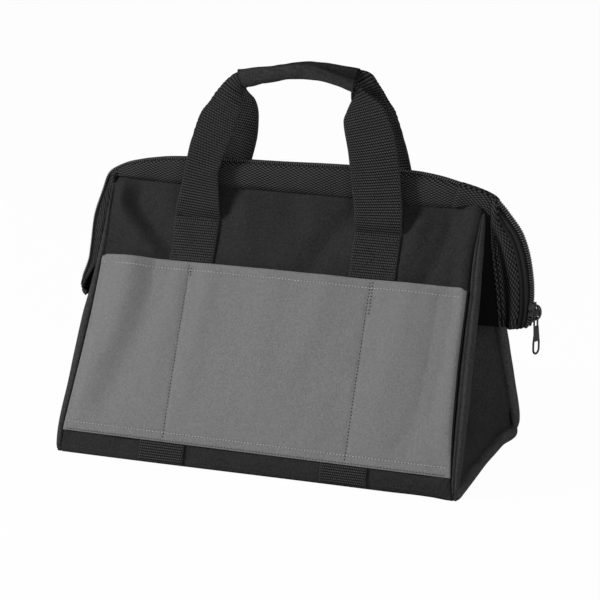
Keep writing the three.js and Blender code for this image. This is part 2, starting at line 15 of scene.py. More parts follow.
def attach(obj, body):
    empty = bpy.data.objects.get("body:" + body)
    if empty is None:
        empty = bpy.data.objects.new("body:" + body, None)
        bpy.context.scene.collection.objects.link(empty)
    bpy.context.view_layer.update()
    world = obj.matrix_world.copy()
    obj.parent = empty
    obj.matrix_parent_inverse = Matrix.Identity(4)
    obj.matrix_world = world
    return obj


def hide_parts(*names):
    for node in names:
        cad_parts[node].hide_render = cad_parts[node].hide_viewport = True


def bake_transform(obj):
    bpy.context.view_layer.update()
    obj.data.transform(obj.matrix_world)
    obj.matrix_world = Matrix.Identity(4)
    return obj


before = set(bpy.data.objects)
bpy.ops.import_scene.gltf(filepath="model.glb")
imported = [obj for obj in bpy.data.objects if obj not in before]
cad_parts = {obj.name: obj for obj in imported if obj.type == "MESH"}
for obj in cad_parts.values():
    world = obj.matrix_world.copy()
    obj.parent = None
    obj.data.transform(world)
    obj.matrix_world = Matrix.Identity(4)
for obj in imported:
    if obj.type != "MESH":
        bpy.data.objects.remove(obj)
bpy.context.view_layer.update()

bl_info = {
    "name": "Zippered tool bag",
    "version": (1, 0, 0),
    "blender": (4, 5, 0),
    "location": "View3D > Sidebar > Tool bag",
    "description": "Builds the cloth, webbing, zip and metal of a tool bag round its frame",
    "category": "Object",
}

MM = 0.001

# The bag's shape, as in the CAD model, in millimetres
HALF_LENGTH = 165.0
HALF_DEPTH = 91.0
MOUTH_GAP = 8.4
MOUTH_HEIGHT = 204.0
LEAN = math.atan2(HALF_DEPTH - MOUTH_GAP / 2, MOUTH_HEIGHT)
SLOPE = math.hypot(HALF_DEPTH - MOUTH_GAP / 2, MOUTH_HEIGHT)

# Up the slope of a side: where it turns under the base, the pocket's edges, and the webbing's last stitches
FOOT_ROUNDING = 15.0
POCKET_FOOT = 17.4
POCKET_TOP = 159.0
STITCH_HEIGHT = 195.0

# The sewn rows that lie level, also up the slope: the pocket's foot, its hem, and the edge of the side
FOOT_ROWS = (POCKET_FOOT + 1.2, POCKET_FOOT + 7)
HEM_ROW = POCKET_TOP - 6.3
EDGE_ROW = 4.8

# The base's cloth: how far it reaches along the bag and to the back, from the middle
BASE_END = 155.0
BASE_BACK = 88.0

# The webbing's middle along the bag and its width
LEG_X = 75.5
WEBBING_WIDTH = 38.0

# The mouth: how far its band and its zip reach along the bag from the middle, and the tape's width
BAND_END = 149.5
ZIP_END = 150.0
TAPE_WIDTH = 12.0

# The gussets: the heights of their foot and top, and of the tip of the ears, where the tuck is deepest
GUSSET_FOOT = 5.0
GUSSET_TOP = 199.0
TIP_HEIGHT = 113.0
TUCK = 62.0

# The mouth's upper line: along the bag, height
CROWN = (
    (-154.0, 210.8), (-150.0, 213.8), (-145.5, 215.8), (-141.1, 217.4), (-132.2, 219.6), (-123.4, 221.4),
    (-105.9, 223.9), (-80.0, 225.4), (-54.2, 226.1), (-28.7, 226.5), (-3.4, 227.0), (21.6, 227.8),
    (48.0, 228.3), (75.0, 228.4), (99.1, 227.8), (111.2, 226.7), (123.2, 224.8), (135.2, 222.0), (143.1, 220.2),
    (151.1, 218.2), (155.0, 217.0),
)

# The lower edge of the mouth's band: along the bag, height
BAND_FOOT = (
    (-154.0, 205.8), (-150.8, 205.6), (-138.2, 204.9), (-117.7, 204.4), (-95.0, 203.6), (-56.1, 203.6),
    (-19.4, 204.2), (16.7, 204.2), (45.7, 204.0), (80.0, 202.8), (113.7, 201.9), (130.0, 203.0), (137.9, 203.9),
    (142.0, 205.2), (146.2, 205.6), (151.0, 205.4), (155.4, 203.0),
)

# The zip's line at each ear, from the mouth to the tip: outward along the bag, height
EAR_LINES = {
    "right": (
        (149.8, 218.5), (155.0, 216.8), (160.4, 214.8), (164.0, 212.9), (167.2, 209.8), (171.2, 205.7),
        (175.3, 200.8), (183.2, 190.8), (187.4, 183.0), (191.6, 170.4), (194.4, 155.2), (195.4, 143.7),
        (195.3, 132.0), (194.6, 122.0), (192.6, 114.4),
    ),
    "left": (
        (149.8, 213.9), (153.6, 212.0), (156.8, 210.0), (159.4, 207.2), (161.6, 203.4), (163.4, 198.4),
        (165.6, 192.4), (168.6, 185.0), (171.4, 177.6), (174.0, 168.0), (177.3, 146.1), (179.6, 134.2),
        (185.0, 120.6), (186.8, 112.7),
    ),
}

# The left ear's back half goes on past the tip of its front half
TIP_BEHIND = ((187.0, 106.2), (183.8, 102.5))

# The lower edge of each ear's band, by half: outward along the bag, height
EAR_INNER = {
    ("right", "front"): (
        (131, 203.2), (138, 204.0), (142, 205.2), (147, 205.6), (151.4, 205.2), (155.4, 203.0), (158.6, 201.8),
        (160.4, 197.0), (161.6, 189.0), (164.1, 165.0), (167.8, 138.0), (170.3, 113.2),
    ),
    ("left", "front"): (
        (141, 205.0), (147, 205.5), (150.6, 205.4), (152.0, 202.0), (153.2, 194.8), (154.5, 184.1),
        (156.8, 169.2), (160.4, 149.0), (165.0, 138.0), (170.4, 131.4),
    ),
}
EAR_INNER["right", "back"] = EAR_INNER["right", "front"]
EAR_INNER["left", "back"] = (*EAR_INNER["left", "front"][:-2], (162.4, 128.0), (166.0, 103.0))

# How far inside the zip's line the tape of an ear begins
EAR_TAPE_EDGE = 0.9

# The rows of an ear's band, where it begins along the bag, and the height at which the right one is cut level
EAR_ROWS = 110
EAR_FIRST = {"right": 137.0, "left": 143.0}
EAR_TIP_LEVEL = 113.2

# The bound seams of each side, left end -1 and right end 1: up the slope, seam, outer line
SEAMS = {
    ("front", -1): (
        (0, 160.4, 164.4), (3, 161.4, 165.8), (8, 161.7, 166.4), (20, 161.1, 167.1), (32, 160.0, 166.8),
        (49, 158.4, 165.5), (65, 156.9, 164.5), (81, 155.4, 163.8), (97, 154.1, 162.8), (113, 152.9, 161.6),
        (127, 152.2, 159.8), (138, 151.7, 158.4), (150, 151.3, 157.0), (170, 150.9, 155.6), (185, 151.1, 154.6),
        (201, 151.6, 153.8), (223, 151.2, 152.8),
    ),
    ("front", 1): (
        (0, 163.0, 165.6), (3, 162.4, 166.2), (6, 161.2, 166.5), (12, 159.8, 166.5), (20, 158.8, 166.4),
        (31, 157.6, 166.2), (45, 156.3, 165.9), (57, 155.3, 165.5), (75, 154.2, 164.9), (98, 153.0, 163.9),
        (121, 152.4, 163.0), (143, 152.1, 162.3), (158, 151.8, 161.4), (172, 151.2, 160.3), (188, 151.2, 159.4),
        (203, 152.7, 158.4), (215, 153.8, 157.7), (223, 154.2, 157.2),
    ),
    ("back", -1): (
        (0, 150.0, 153.0), (4, 151.8, 156.6), (11, 153.6, 160.0), (20, 154.0, 161.5), (30, 153.8, 161.8),
        (47, 152.8, 161.2), (67, 152.0, 160.8), (108, 150.6, 159.8), (150, 149.8, 158.6), (190, 150.2, 157.0),
        (223, 151.0, 155.4),
    ),
    ("back", 1): (
        (0, 158.8, 161.4), (4, 160.4, 165.0), (10, 160.6, 166.8), (31, 159.0, 166.8), (75, 156.0, 164.8),
        (121, 153.2, 161.8), (158, 151.4, 158.6), (190, 151.2, 156.0), (223, 151.2, 154.0),
    ),
}

# The outer line of the base's end seams: across the bag, outward along it
BASE_LINE = (
    (-88.0, 167.8), (-84.0, 168.6), (-59.0, 166.6), (-28.0, 163.8), (0.0, 161.3), (26.0, 160.0), (52.0, 158.7),
    (63.0, 160.0), (72.0, 161.0), (80.0, 160.6), (86.0, 158.0),
)

# Soft folds of a panel: a row of places (along the bag, up the slope), a depth and a half width
PANEL_FOLDS = (
    (((-145, 216), (-146, 204), (-138, 194), (-133, 187), (-124, 180), (-120, 174), (-110, 166)), 4.4, 7.5),
    (((-131, 216), (-131, 204), (-126, 198), (-119, 192), (-113, 186), (-106, 180), (-98, 172), (-92, 164)), -5.4, 8.5),
    (((-108, 216), (-100, 200), (-92, 186)), 1.6, 9.0),
    (((-34, 216), (-36, 196), (-30, 176)), 2.2, 11.0),
    (((0, 217), (6, 200), (10, 184)), -2.4, 10.0),
    (((54, 216), (45, 198), (31, 181), (20, 160)), -4.0, 9.5),
    (((24, 216), (14, 196), (0, 172)), 1.2, 11.0),
    (((132, 218), (130, 199), (126, 184), (119, 166), (115, 157)), -3.8, 6.5),
    (((112, 218), (107, 200), (104, 184), (98, 166)), 2.6, 7.0),
    (((118, 205), (114, 190)), -1.0, 5.0),
    (((66, 210), (60, 186)), 0.9, 9.0),
    (((149, 186), (140, 178)), -1.1, 5.0),
)

# The same for the pocket cloth
POCKET_FOLDS = (
    (((-124, 154), (-126, 118), (-136, 84), (-146, 52)), 6.0, 16.0),
    (((-101, 152), (-106, 118), (-116, 85), (-130, 46)), -4.0, 13.0),
    (((-84, 148), (-86, 100), (-92, 60)), 0.8, 8.0),
    (((-58, 150), (-60, 100), (-62, 60)), 2.4, 9.0),
    (((-6, 150), (-8, 100), (-4, 60)), 1.8, 14.0),
    (((38, 150), (34, 120), (28, 92)), 1.8, 13.0),
    (((66, 60), (64, 40), (60, 24)), -1.2, 10.0),
    (((138, 148), (136, 104), (131, 65), (118, 26)), -4.0, 10.0),
    (((106, 150), (102, 100), (96, 50)), 2.8, 13.0),
    (((90, 24), (120, 34)), -0.7, 9.0),
)


def mix(a, b, t):
    """The value a share t of the way from a to b."""
    return a + (b - a) * t


def smooth(low, high, x):
    """0 below low, 1 above high, and an even curve between."""
    t = min(1.0, max(0.0, (x - low) / (high - low)))
    return t * t * (3 - 2 * t)


def bump(x, centre, width):
    """An even bell."""
    return math.exp(-(((x - centre) / width) ** 2))


def on_slope(x, s, out, face=1):
    """A place on the leaning side: along the bag, up the slope, out of the cloth; face is 1 in front, -1 behind."""
    under = 3.0
    if face > 0:
        under = mix(0.5, 4.2, smooth(-150, 110, x)) + 1.1 * bump(x, 134, 16) - 1.6 * smooth(146, 160, x)
    y = -HALF_DEPTH + s * math.sin(LEAN) - out * math.cos(LEAN) + under * max(0.0, 1 - s / FOOT_ROUNDING) ** 2
    z = s * math.cos(LEAN) + out * math.sin(LEAN)
    return Vector((face * x, face * y, z))


def running_lengths(line):
    """How far along a row each of its points lies."""
    lengths = [0.0]
    for a, b in zip(line, line[1:]):
        lengths.append(lengths[-1] + math.dist(a, b))
    return lengths


def at_share(line, t):
    """The point a share t along a row of points, by their spacing."""
    lengths = running_lengths(line)
    goal = t * lengths[-1]
    for i, (a, b) in enumerate(zip(line, line[1:])):
        if goal <= lengths[i + 1] or i == len(line) - 2:
            k = (goal - lengths[i]) / max(lengths[i + 1] - lengths[i], 1e-9)
            return tuple(mix(p, q, k) for p, q in zip(a, b))


def curve_through(places, steps):
    """A smooth row of points through the places, the same number of steps from each to the next."""
    rows = [places[0], *places, places[-1]]
    out = []
    for i in range(1, len(rows) - 2):
        a, b, c, d = rows[i - 1 : i + 3]
        for k in range(steps):
            t = k / steps
            out.append(
                tuple(
                    0.5 * (2 * q + (r - p) * t + (2 * p - 5 * q + 4 * r - w) * t * t + (3 * q - p - 3 * r + w) * t**3)
                    for p, q, r, w in zip(a, b, c, d)
                )
            )
    out.append(tuple(places[-1]))
    return out


class Table:
    """Columns against a rising first one, on a smooth line through the given rows."""

    def __init__(self, rows):
        self.rows = curve_through(rows, 6)
        self.keys = [row[0] for row in self.rows]

    def at(self, x, column=1):
        i = min(max(bisect.bisect_right(self.keys, x) - 1, 0), len(self.rows) - 2)
        a, b = self.rows[i], self.rows[i + 1]
        return mix(a[column], b[column], min(1.0, max(0.0, (x - a[0]) / (b[0] - a[0]))))


CROWN_TABLE = Table(CROWN)
FOOT_TABLE = Table(BAND_FOOT)
SEAM_TABLES = {key: Table(rows) for key, rows in SEAMS.items()}
BASE_TABLE = Table(BASE_LINE)


def crown(x):
    """The height of the mouth's upper line."""
    return CROWN_TABLE.at(x)


def seam(side, turn, s):
    """How far out a bound seam starts, at a place up the slope."""
    return SEAM_TABLES[side, turn].at(s)


def across_side(side, s, u, over=0.0):
    """A place along the bag between the seams of a side, for u from 0 to 1."""
    return mix(-seam(side, -1, s) - over, seam(side, 1, s) + over, u)


def to_seam(side, x, s):
    """How far a place is from the nearer seam."""
    return min(seam(side, 1, s) - x, x + seam(side, -1, s))


def pulled_in(line, amount):
    """A row of points moved inward by amount(share)."""
    out = []
    last = len(line) - 1
    for i, (x, z) in enumerate(line):
        a, b = line[max(i - 1, 0)], line[min(i + 1, last)]
        dx, dz = b[0] - a[0], b[1] - a[1]
        push = amount(i / last) / math.hypot(dx, dz)
        out.append((x + dz * push, z - dx * push))
    return out


def fold_height(folds, x, s):
    """How far the soft folds lift the cloth at a place."""
    height = 0.0
    for line, depth, width in folds:
        best, along = 1e9, 0.0
        total = len(line) - 1
        for i in range(total):
            ax, ay = line[i]
            bx, by = line[i + 1]
            dx, dy = bx - ax, by - ay
            raw = ((x - ax) * dx + (s - ay) * dy) / (dx * dx + dy * dy)
            t = min(1.0, max(0.0, raw))
            away = math.hypot(x - ax - t * dx, s - ay - t * dy)
            if away < best:
                best, along = away, (i + t) / total
        if best < 3 * width:
            height += depth * math.exp(-((best / width) ** 2)) * (1 - 0.45 * along)
    return height


def ripple(x, y, scale, seed):
    """A gentle unevenness of cloth, from -1 to 1."""
    return noise.noise(Vector((x / scale, y / scale, seed)))


# The sides with the way they face, and the ends with the way they point, as that side is seen
SIDES = (("front", 1), ("back", -1))
FACES = dict(SIDES)
ENDS = {"right": 1, "left": -1}

# Meshes


def grid_mesh(columns, rows, place, cloth=(1.0, 1.0), tube=False, flip=False):
    """A bmesh sheet whose points come from place(u, t), both from 0 to 1; cloth gives its own flat map in mm."""
    flat_place = cloth if callable(cloth) else lambda u, t: (u * cloth[0], t * cloth[1])
    bm = bmesh.new()
    bmesh.ops.create_grid(bm, x_segments=columns, y_segments=rows, size=0.5)
    flat = bm.loops.layers.uv.new("cloth")
    for face in bm.faces:
        for loop in face.loops:
            u, v = flat_place(loop.vert.co.x + 0.5, loop.vert.co.y + 0.5)
            loop[flat].uv = (u * MM, v * MM)
    for vert in bm.verts:
        vert.co = Vector(place(vert.co.x + 0.5, vert.co.y + 0.5))
    if tube:
        bmesh.ops.remove_doubles(bm, verts=bm.verts, dist=1e-4)
    if flip:
        bmesh.ops.reverse_faces(bm, faces=bm.faces)
    return bm


def close_ends(bm):
    """Fills the open ends of a tube."""
    rim = [edge for edge in bm.edges if edge.is_boundary]
    bmesh.ops.holes_fill(bm, edges=rim, sides=0)
    bmesh.ops.triangulate(bm, faces=[face for face in bm.faces if len(face.verts) > 4])


def swept_tube(path, section, cloth=(1.0, 1.0), closed=False):
    """A tube along a row of frames (centre, across, out), with filled ends where it isn't a closed ring."""
    rows = len(path) - 1

    def place(u, t):
        centre, across, out = path[round(t * rows)]
        p, q = section.at(t, u)
        return centre + across * p + out * q

    bm = grid_mesh(section.columns, rows, place, cloth, tube=True)
    if not closed:
        close_ends(bm)
    bmesh.ops.recalc_face_normals(bm, faces=bm.faces)
    return bm


class Section:
    """The outline of a tube: columns round it, and at(share along, share round) for a point across and out."""

    def __init__(self, columns, at):
        self.columns = columns
        self.at = at


def round_section(columns, half_width, half_height=None, power=2.0):
    """A round or squarish outline; power above 2 makes it squarer."""
    half_height = half_height or half_width

    def at(t, a):
        c, s = math.cos(a * math.tau), math.sin(a * math.tau)
        width = half_width(t) if callable(half_width) else half_width
        height = half_height(t) if callable(half_height) else half_height
        return (
            width * math.copysign(abs(c) ** (2 / power), c),
            height * math.copysign(abs(s) ** (2 / power), s),
        )

    return Section(columns, at)


def frames_along(points, side):
    """Frames for a tube along points: across is kept near the given direction, out is square to both."""
    frames = []
    for i, point in enumerate(points):
        before = Vector(points[max(i - 1, 0)])
        after = Vector(points[min(i + 1, len(points) - 1)])
        run = (after - before).normalized()
        across = Vector(side) - run * run.dot(Vector(side))
        across.normalize()
        frames.append((Vector(point), across, run.cross(across)))
    return frames


def finish_piece(name, bm, look, body=None, replaces=(), thickness=0.0):
    """The object of a bmesh in millimetres, with its finish, its body and the nodes that it stands for."""
    bmesh.ops.scale(bm, vec=(MM, MM, MM), verts=bm.verts)
    mesh = bpy.data.meshes.new(name)
    bm.to_mesh(mesh)
    bm.free()
    piece = bpy.data.objects.new(name, mesh)
    bpy.context.scene.collection.objects.link(piece)
    mesh.materials.append(finish(look))
    mesh.shade_smooth()
    if thickness:
        wall = piece.modifiers.new("Cloth thickness", "SOLIDIFY")
        wall.thickness = thickness * MM
        wall.offset = -1
        wall.use_even_offset = False
    if body:
        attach(piece, body)
    if replaces:
        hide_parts(*replaces)
    return piece


def join_meshes(parts):
    """One bmesh from several."""
    whole = bmesh.new()
    whole.loops.layers.uv.new("cloth")
    for part in parts:
        mesh = bpy.data.meshes.new("part")
        part.to_mesh(mesh)
        part.free()
        whole.from_mesh(mesh)
        bpy.data.meshes.remove(mesh)
    return whole


# Materials


class Value:
    """A number in a shader; arithmetic on it adds Math nodes."""

    def __init__(self, finish, socket):
        self.finish = finish
        self.socket = socket

    def maths(self, operation, *others):
        inputs = dict(enumerate((self, *others)))
        return self.finish.node("ShaderNodeMath", {"operation": operation}, inputs)

    def __add__(self, other):
        return self.maths("ADD", other)

    __radd__ = __add__

    def __sub__(self, other):
        return self.maths("SUBTRACT", other)

    def __rsub__(self, other):
        return self.finish.node("ShaderNodeMath", {"operation": "SUBTRACT"}, {0: other, 1: self})

    def __mul__(self, other):
        return self.maths("MULTIPLY", other)

    __rmul__ = __mul__

    def __pow__(self, other):
        return self.maths("POWER", other)

    def __abs__(self):
        return self.maths("ABSOLUTE")

    def wave(self, pitch):
        """A cosine that repeats each pitch."""
        return (self * (math.tau / pitch)).maths("COSINE")

    def clip(self):
        """Kept between 0 and 1."""
        return self.maths("MAXIMUM", 0.0).maths("MINIMUM", 1.0)


class Finish:
    """A material made one node at a time."""

    def __init__(self, name):
        self.material = bpy.data.materials.new(name)
        self.material.use_nodes = True
        self.tree = self.material.node_tree
        self.shader = self.tree.nodes["Principled BSDF"]

    def node(self, kind, settings=None, inputs=None, output=0):
        """Adds a node, sets it, joins its inputs and gives one of its outputs."""
        node = self.tree.nodes.new(kind)
        for key, value in (settings or {}).items():
            setattr(node, key, value)
        for key, value in (inputs or {}).items():
            self.join(node.inputs[key], value)
        return Value(self, node.outputs[output])

    def join(self, socket, value):
        """A link where the value comes from a node, or a fixed value."""
        if isinstance(value, Value):
            self.tree.links.new(value.socket, socket)
        else:
            socket.default_value = value

    def flat_map(self):
        """The two directions of the cloth's own map, in millimetres."""
        uv = self.node("ShaderNodeUVMap", {"uv_map": "cloth"})
        both = self.node("ShaderNodeSeparateXYZ", inputs={0: uv})
        x, y = Value(self, both.socket.node.outputs[0]), Value(self, both.socket.node.outputs[1])
        return x * (1 / MM), y * (1 / MM)

    def place(self):
        """The object's own coordinates."""
        return self.node("ShaderNodeTexCoord", output=3)

    def grain(self, vector, scale, detail, roughness):
        """Noise from 0 to 1."""
        return self.node(
            "ShaderNodeTexNoise", None, {"Vector": vector, "Scale": scale, "Detail": detail, "Roughness": roughness}
        )

    def blend(self, share, a, b):
        """A colour between a and b."""
        node = self.tree.nodes.new("ShaderNodeMix")
        node.data_type = "RGBA"
        self.join(node.inputs[0], share)
        self.join(node.inputs[6], a)
        self.join(node.inputs[7], b)
        return Value(self, node.outputs[2])

    def bump(self, height, distance, strength=1.0):
        """The normal of a height."""
        return self.node("ShaderNodeBump", None, {"Height": height, "Distance": distance, "Strength": strength})

    def surface(self, **sockets):
        """Joins the shader's sockets and gives the material."""
        for key, value in sockets.items():
            self.join(self.shader.inputs[key.replace("_", " ").title()], value)
        return self.material


def shade(colour, factor):
    """A darker or lighter copy of a colour, opaque."""
    return (colour[0] * factor, colour[1] * factor, colour[2] * factor, 1.0)


def woven_cloth(name, colour, contrast, roughness):
    """Fine plain weave: threads over and under each other, with uneven yarn."""
    f = Finish(name)
    u, v = f.flat_map()
    pitch = bpy.context.scene.bag_sizes.weave / MM
    warp, weft = u.wave(pitch), v.wave(pitch)
    over = u.wave(2 * pitch) * v.wave(2 * pitch)
    height = warp * 0.25 + weft * 0.25 + over * 0.5
    place = f.place()
    yarn = f.grain(place, 900.0, 3.0, 0.6)
    broad = f.grain(place, 28.0, 3.0, 0.55)
    fleck = f.grain(place, 560.0, 2.0, 0.7)
    share = (over * 0.12 + (fleck - 0.5) * 2.2 + (yarn - 0.5) * 1.4 + broad * 0.3 + 0.35).clip()
    base = f.blend(share, shade(colour, 1 - contrast), shade(colour, 1 + contrast))
    rough = broad * 0.12 + (roughness - 0.06)
    normal = f.bump(height + yarn * 1.2, 0.12 * MM, 0.8)
    f.shader.inputs["Specular IOR Level"].default_value = 0.12
    return f.surface(base_color=base, roughness=rough, normal=normal)


def ribbed_webbing(name, colour):
    """Heavy webbing: ribs across the run, each a row of small beads."""
    f = Finish(name)
    u, v = f.flat_map()
    rib, bead = bpy.context.scene.bag_sizes.rib / MM, 1.75
    ribs = v.wave(rib) * 0.5 + 0.5
    beads = (u + v * (bead / rib / 2)).wave(bead) * 0.5 + 0.5
    edge = (abs(u - WEBBING_WIDTH / 2) * 1.2 - 21.2).clip()
    height = ribs * (beads * 0.9 + 0.1)
    place = f.place()
    yarn = f.grain(place, 900.0, 2.0, 0.6)
    broad = f.grain(place, 35.0, 3.0, 0.5)
    # The colour follows the relief: lighter on rib crests and beads as painted highlight, darker in the grooves as
    # painted shade
    lit = (height * 2.0 * (1 - edge) + edge * 0.55 + yarn * 0.5 + broad * 0.2 - 0.46).clip()
    base = f.blend(lit, shade(colour, 0.12), shade(colour, 5.0))
    normal = f.bump(height * (1 - edge) + yarn * 0.2, 0.5 * MM, 0.8)
    f.shader.inputs["Specular IOR Level"].default_value = 0.1
    return f.surface(base_color=base, roughness=0.62 + broad * 0.1, normal=normal)


def net_band(name, colour):
    """Coarse open band: a lattice of raised knots, lightened as a painted highlight, with the holes between darkened as
    painted shade.
    """
    f = Finish(name)
    u, v = f.flat_map()
    step, rise = 4.27, 2.18
    knots = u.wave(step) * v.wave(rise) * 0.5 + 0.5
    place = f.place()
    yarn = f.grain(place, 1000.0, 2.0, 0.6)
    broad = f.grain(place, 40.0, 2.0, 0.5)
    # Lighter knots are painted highlight, the dark between them painted shade
    lit = (knots**2.6 * 2.1 + yarn * 0.5 + broad * 0.2 - 0.4).clip()
    base = f.blend(lit, shade(colour, 0.1), shade(colour, 5.2))
    normal = f.bump(knots + yarn * 0.15, 0.45 * MM, 0.7)
    f.shader.inputs["Specular IOR Level"].default_value = 0.1
    return f.surface(base_color=base, roughness=0.6 + broad * 0.1, normal=normal)


def twill_tape(name, colour):
    """Smooth zip tape with a fine twill line."""
    f = Finish(name)
    u, v = f.flat_map()
    twill = (u + v).wave(0.8) * 0.5 + 0.5
    yarn = f.grain(f.place(), 800.0, 2.0, 0.6)
    base = f.blend((twill * 0.5 + yarn * 0.5).clip(), shade(colour, 0.65), shade(colour, 1.35))
    normal = f.bump(twill + yarn * 0.5, 0.1 * MM, 0.7)
    f.shader.inputs["Specular IOR Level"].default_value = 0.2
    return f.surface(base_color=base, roughness=0.6 + yarn * 0.12, normal=normal)


def moulded_nylon(name, colour):
    """The satin wire of the coil."""
    f = Finish(name)
    haze = f.grain(f.place(), 260.0, 3.0, 0.6)
    f.shader.inputs["Specular IOR Level"].default_value = 0.35
    base = f.blend(haze, shade(colour, 0.7), shade(colour, 1.4))
    return f.surface(base_color=base, roughness=0.32 + haze * 0.16, normal=f.bump(haze, 0.03 * MM, 0.5))


def coated_metal(name, colour):
    """Dark coating on cast metal, a little worn and uneven."""
    f = Finish(name)
    place = f.place()
    cast = f.grain(place, 420.0, 4.0, 0.6)
    worn = f.grain(place, 90.0, 3.0, 0.6)
    base = f.blend((worn * 1.2 - 0.2).clip(), shade(colour, 0.8), shade(colour, 2.2))
    f.shader.inputs["Specular IOR Level"].default_value = 0.6
    return f.surface(
        base_color=base,
        metallic=0.55 + worn * 0.25,
        roughness=0.26 + cast * 0.18,
        normal=f.bump(cast, 0.03 * MM, 0.5),
    )


def sewing_thread(name, colour):
    """Twisted thread."""
    f = Finish(name)
    ply = f.grain(f.place(), 1500.0, 2.0, 0.6)
    base = f.blend(ply, shade(colour, 0.75), shade(colour, 1.25))
    return f.surface(base_color=base, roughness=0.55 + ply * 0.1, normal=f.bump(ply, 0.05 * MM, 0.6))


def pressed_board(name, colour):
    """Plain pressed sheet inside the base."""
    f = Finish(name)
    fleck = f.grain(f.place(), 350.0, 4.0, 0.65)
    base = f.blend(fleck, shade(colour, 0.8), shade(colour, 1.25))
    return f.surface(base_color=base, roughness=0.78 + fleck * 0.12, normal=f.bump(fleck, 0.05 * MM, 0.6))


# Each woven cloth: its colour's property, how much lighter than that it is, its contrast and its roughness; the
# bindings, gussets and front grip are the black cloth lightened as painted light, the back grip darkened as painted
# shade
CLOTHS = {
    "Black cloth": ("black_cloth", 1.0, 0.42, 0.72),
    "Binding cloth": ("black_cloth", 1.95, 0.42, 0.68),
    "Back binding cloth": ("black_cloth", 3.2, 0.42, 0.68),
    "Base binding cloth": ("black_cloth", 3.0, 0.42, 0.68),
    "Gusset cloth": ("black_cloth", 1.4, 0.42, 0.72),
    "Front grip cloth": ("black_cloth", 1.35, 0.42, 0.68),
    "Back grip cloth": ("black_cloth", 0.72, 0.42, 0.72),
    "Grey cloth": ("grey_cloth", 1.0, 0.14, 0.8),
    # The lining's near-black colour is painted shade
    "Lining": ("lining", 1.0, 0.3, 0.85),
}

# Each other finish: how it is made and its colour's property
OTHER_FINISHES = {
    "Ribbed webbing": (ribbed_webbing, "webbing"),
    "Open band": (net_band, "webbing"),
    "Zip tape": (twill_tape, "zip_tape"),
    "Coil nylon": (moulded_nylon, "zip_coil"),
    "Coated metal": (coated_metal, "metal"),
    "Black thread": (sewing_thread, "black_thread"),
    "Dark thread": (sewing_thread, "dark_thread"),
    "Grey thread": (sewing_thread, "grey_thread"),
    "Pressed board": (pressed_board, "board"),
}

# The finishes made so far
FINISHES = {}


def finish(name):
    """The material of that name, made once."""
    if name not in FINISHES:
        colours = bpy.context.scene.bag_colours
        if name in CLOTHS:
            key, lighter, contrast, roughness = CLOTHS[name]
            FINISHES[name] = woven_cloth(name, shade(getattr(colours, key), lighter), contrast, roughness)
        else:
            make, key = OTHER_FINISHES[name]
            FINISHES[name] = make(name, shade(getattr(colours, key), 1.0))
    return FINISHES[name]


# The panels


def seam_lift(side, x, s):
    """How far the cloth rises toward the seam at the right of the front."""
    away = seam(side, 1, s) - x
    return 2.6 * smooth(15, 3, away) * smooth(-1.0, 1.5, away) if side == "front" else 0.0


def panel_out(side, x, s):
    """How far the main cloth stands out of its plane."""
    face = FACES[side]
    across = smooth(0, 10, to_seam(side, x, s))
    foot, head = smooth(0, 10, s), mix(0.2, 1.0, smooth(0, 16, SLOPE - s))
    lift = bpy.context.scene.bag_sizes.fold_depth
    folds = fold_height(PANEL_FOLDS, x, s) * lift
    uneven = ripple(x, s, 34, 3.0 + face) * 1.2 + ripple(x, s, 13, 7.0 + face) * 0.4
    covered = smooth(POCKET_TOP + 6, POCKET_TOP - 2, s) * smooth(POCKET_FOOT - 3, POCKET_FOOT + 2, s)
    edge = seam_lift(side, x, s) * smooth(0, 30, s)
    return min((folds + uneven) * across * head * foot + edge, mix(9.0, 0.6, covered))


def make_panel(side, face):
    """The main cloth of one side, from the base to under the band."""

    def place(u, t):
        s = t * (SLOPE + 3.5)
        x = across_side(side, s, u, 1.5 * smooth(2, 12, s))
        return on_slope(x, s, panel_out(side, x, s), face)

    bm = grid_mesh(150, 110, place, (2 * HALF_LENGTH, SLOPE))
    piece = finish_piece(
        f"{side}_panel_cloth", bm, "Black cloth", f"{side}_side", [f"{side}_panel"], 1.0
    )


def pocket_out(side, x, s):
    """How far the pocket cloth stands out of the panel's plane."""
    face = FACES[side]
    low, high = next(
        (a, b)
        for a, b in ((-seam(side, -1, s) - 3, -LEG_X), (-LEG_X, LEG_X), (LEG_X, seam(side, 1, s) + 3))
        if x <= b or b > 100
    )
    bay = math.sin(math.pi * min(1.0, max(0.0, (x - low) / (high - low)))) ** 0.6
    puff = bay * (2.6 if high - low > 100 else 2.0)
    up = (s - POCKET_FOOT) / (POCKET_TOP - POCKET_FOOT)
    body = math.sin(math.pi * min(1.0, up * 0.62 + 0.16)) ** 0.7
    dips = sum(0.4 * bump(s, row, 0.9) for row in (*FOOT_ROWS, HEM_ROW))
    dips += sum(0.5 * bump(x, line, 1.6) for line in (-LEG_X, LEG_X))
    foot = smooth(0, 22, s - POCKET_FOOT)
    folds = fold_height(POCKET_FOLDS, x, s) * (0.25 + 0.75 * foot) * bpy.context.scene.bag_sizes.fold_depth
    uneven = ripple(x, s, 30, 11.0 + face) * 0.9 + ripple(x, s, 11, 17.0 + face) * 0.3
    hem = 0.45 * smooth(0, 0.8, s - (POCKET_TOP - 7.6))
    edge = seam_lift(side, x, s) * smooth(0, 40, s - POCKET_FOOT)
    swell = (puff * body * foot + folds + uneven) * smooth(0, 10, to_seam(side, x, s))
    return max(2.0, 2.5 + swell + edge) - dips + hem


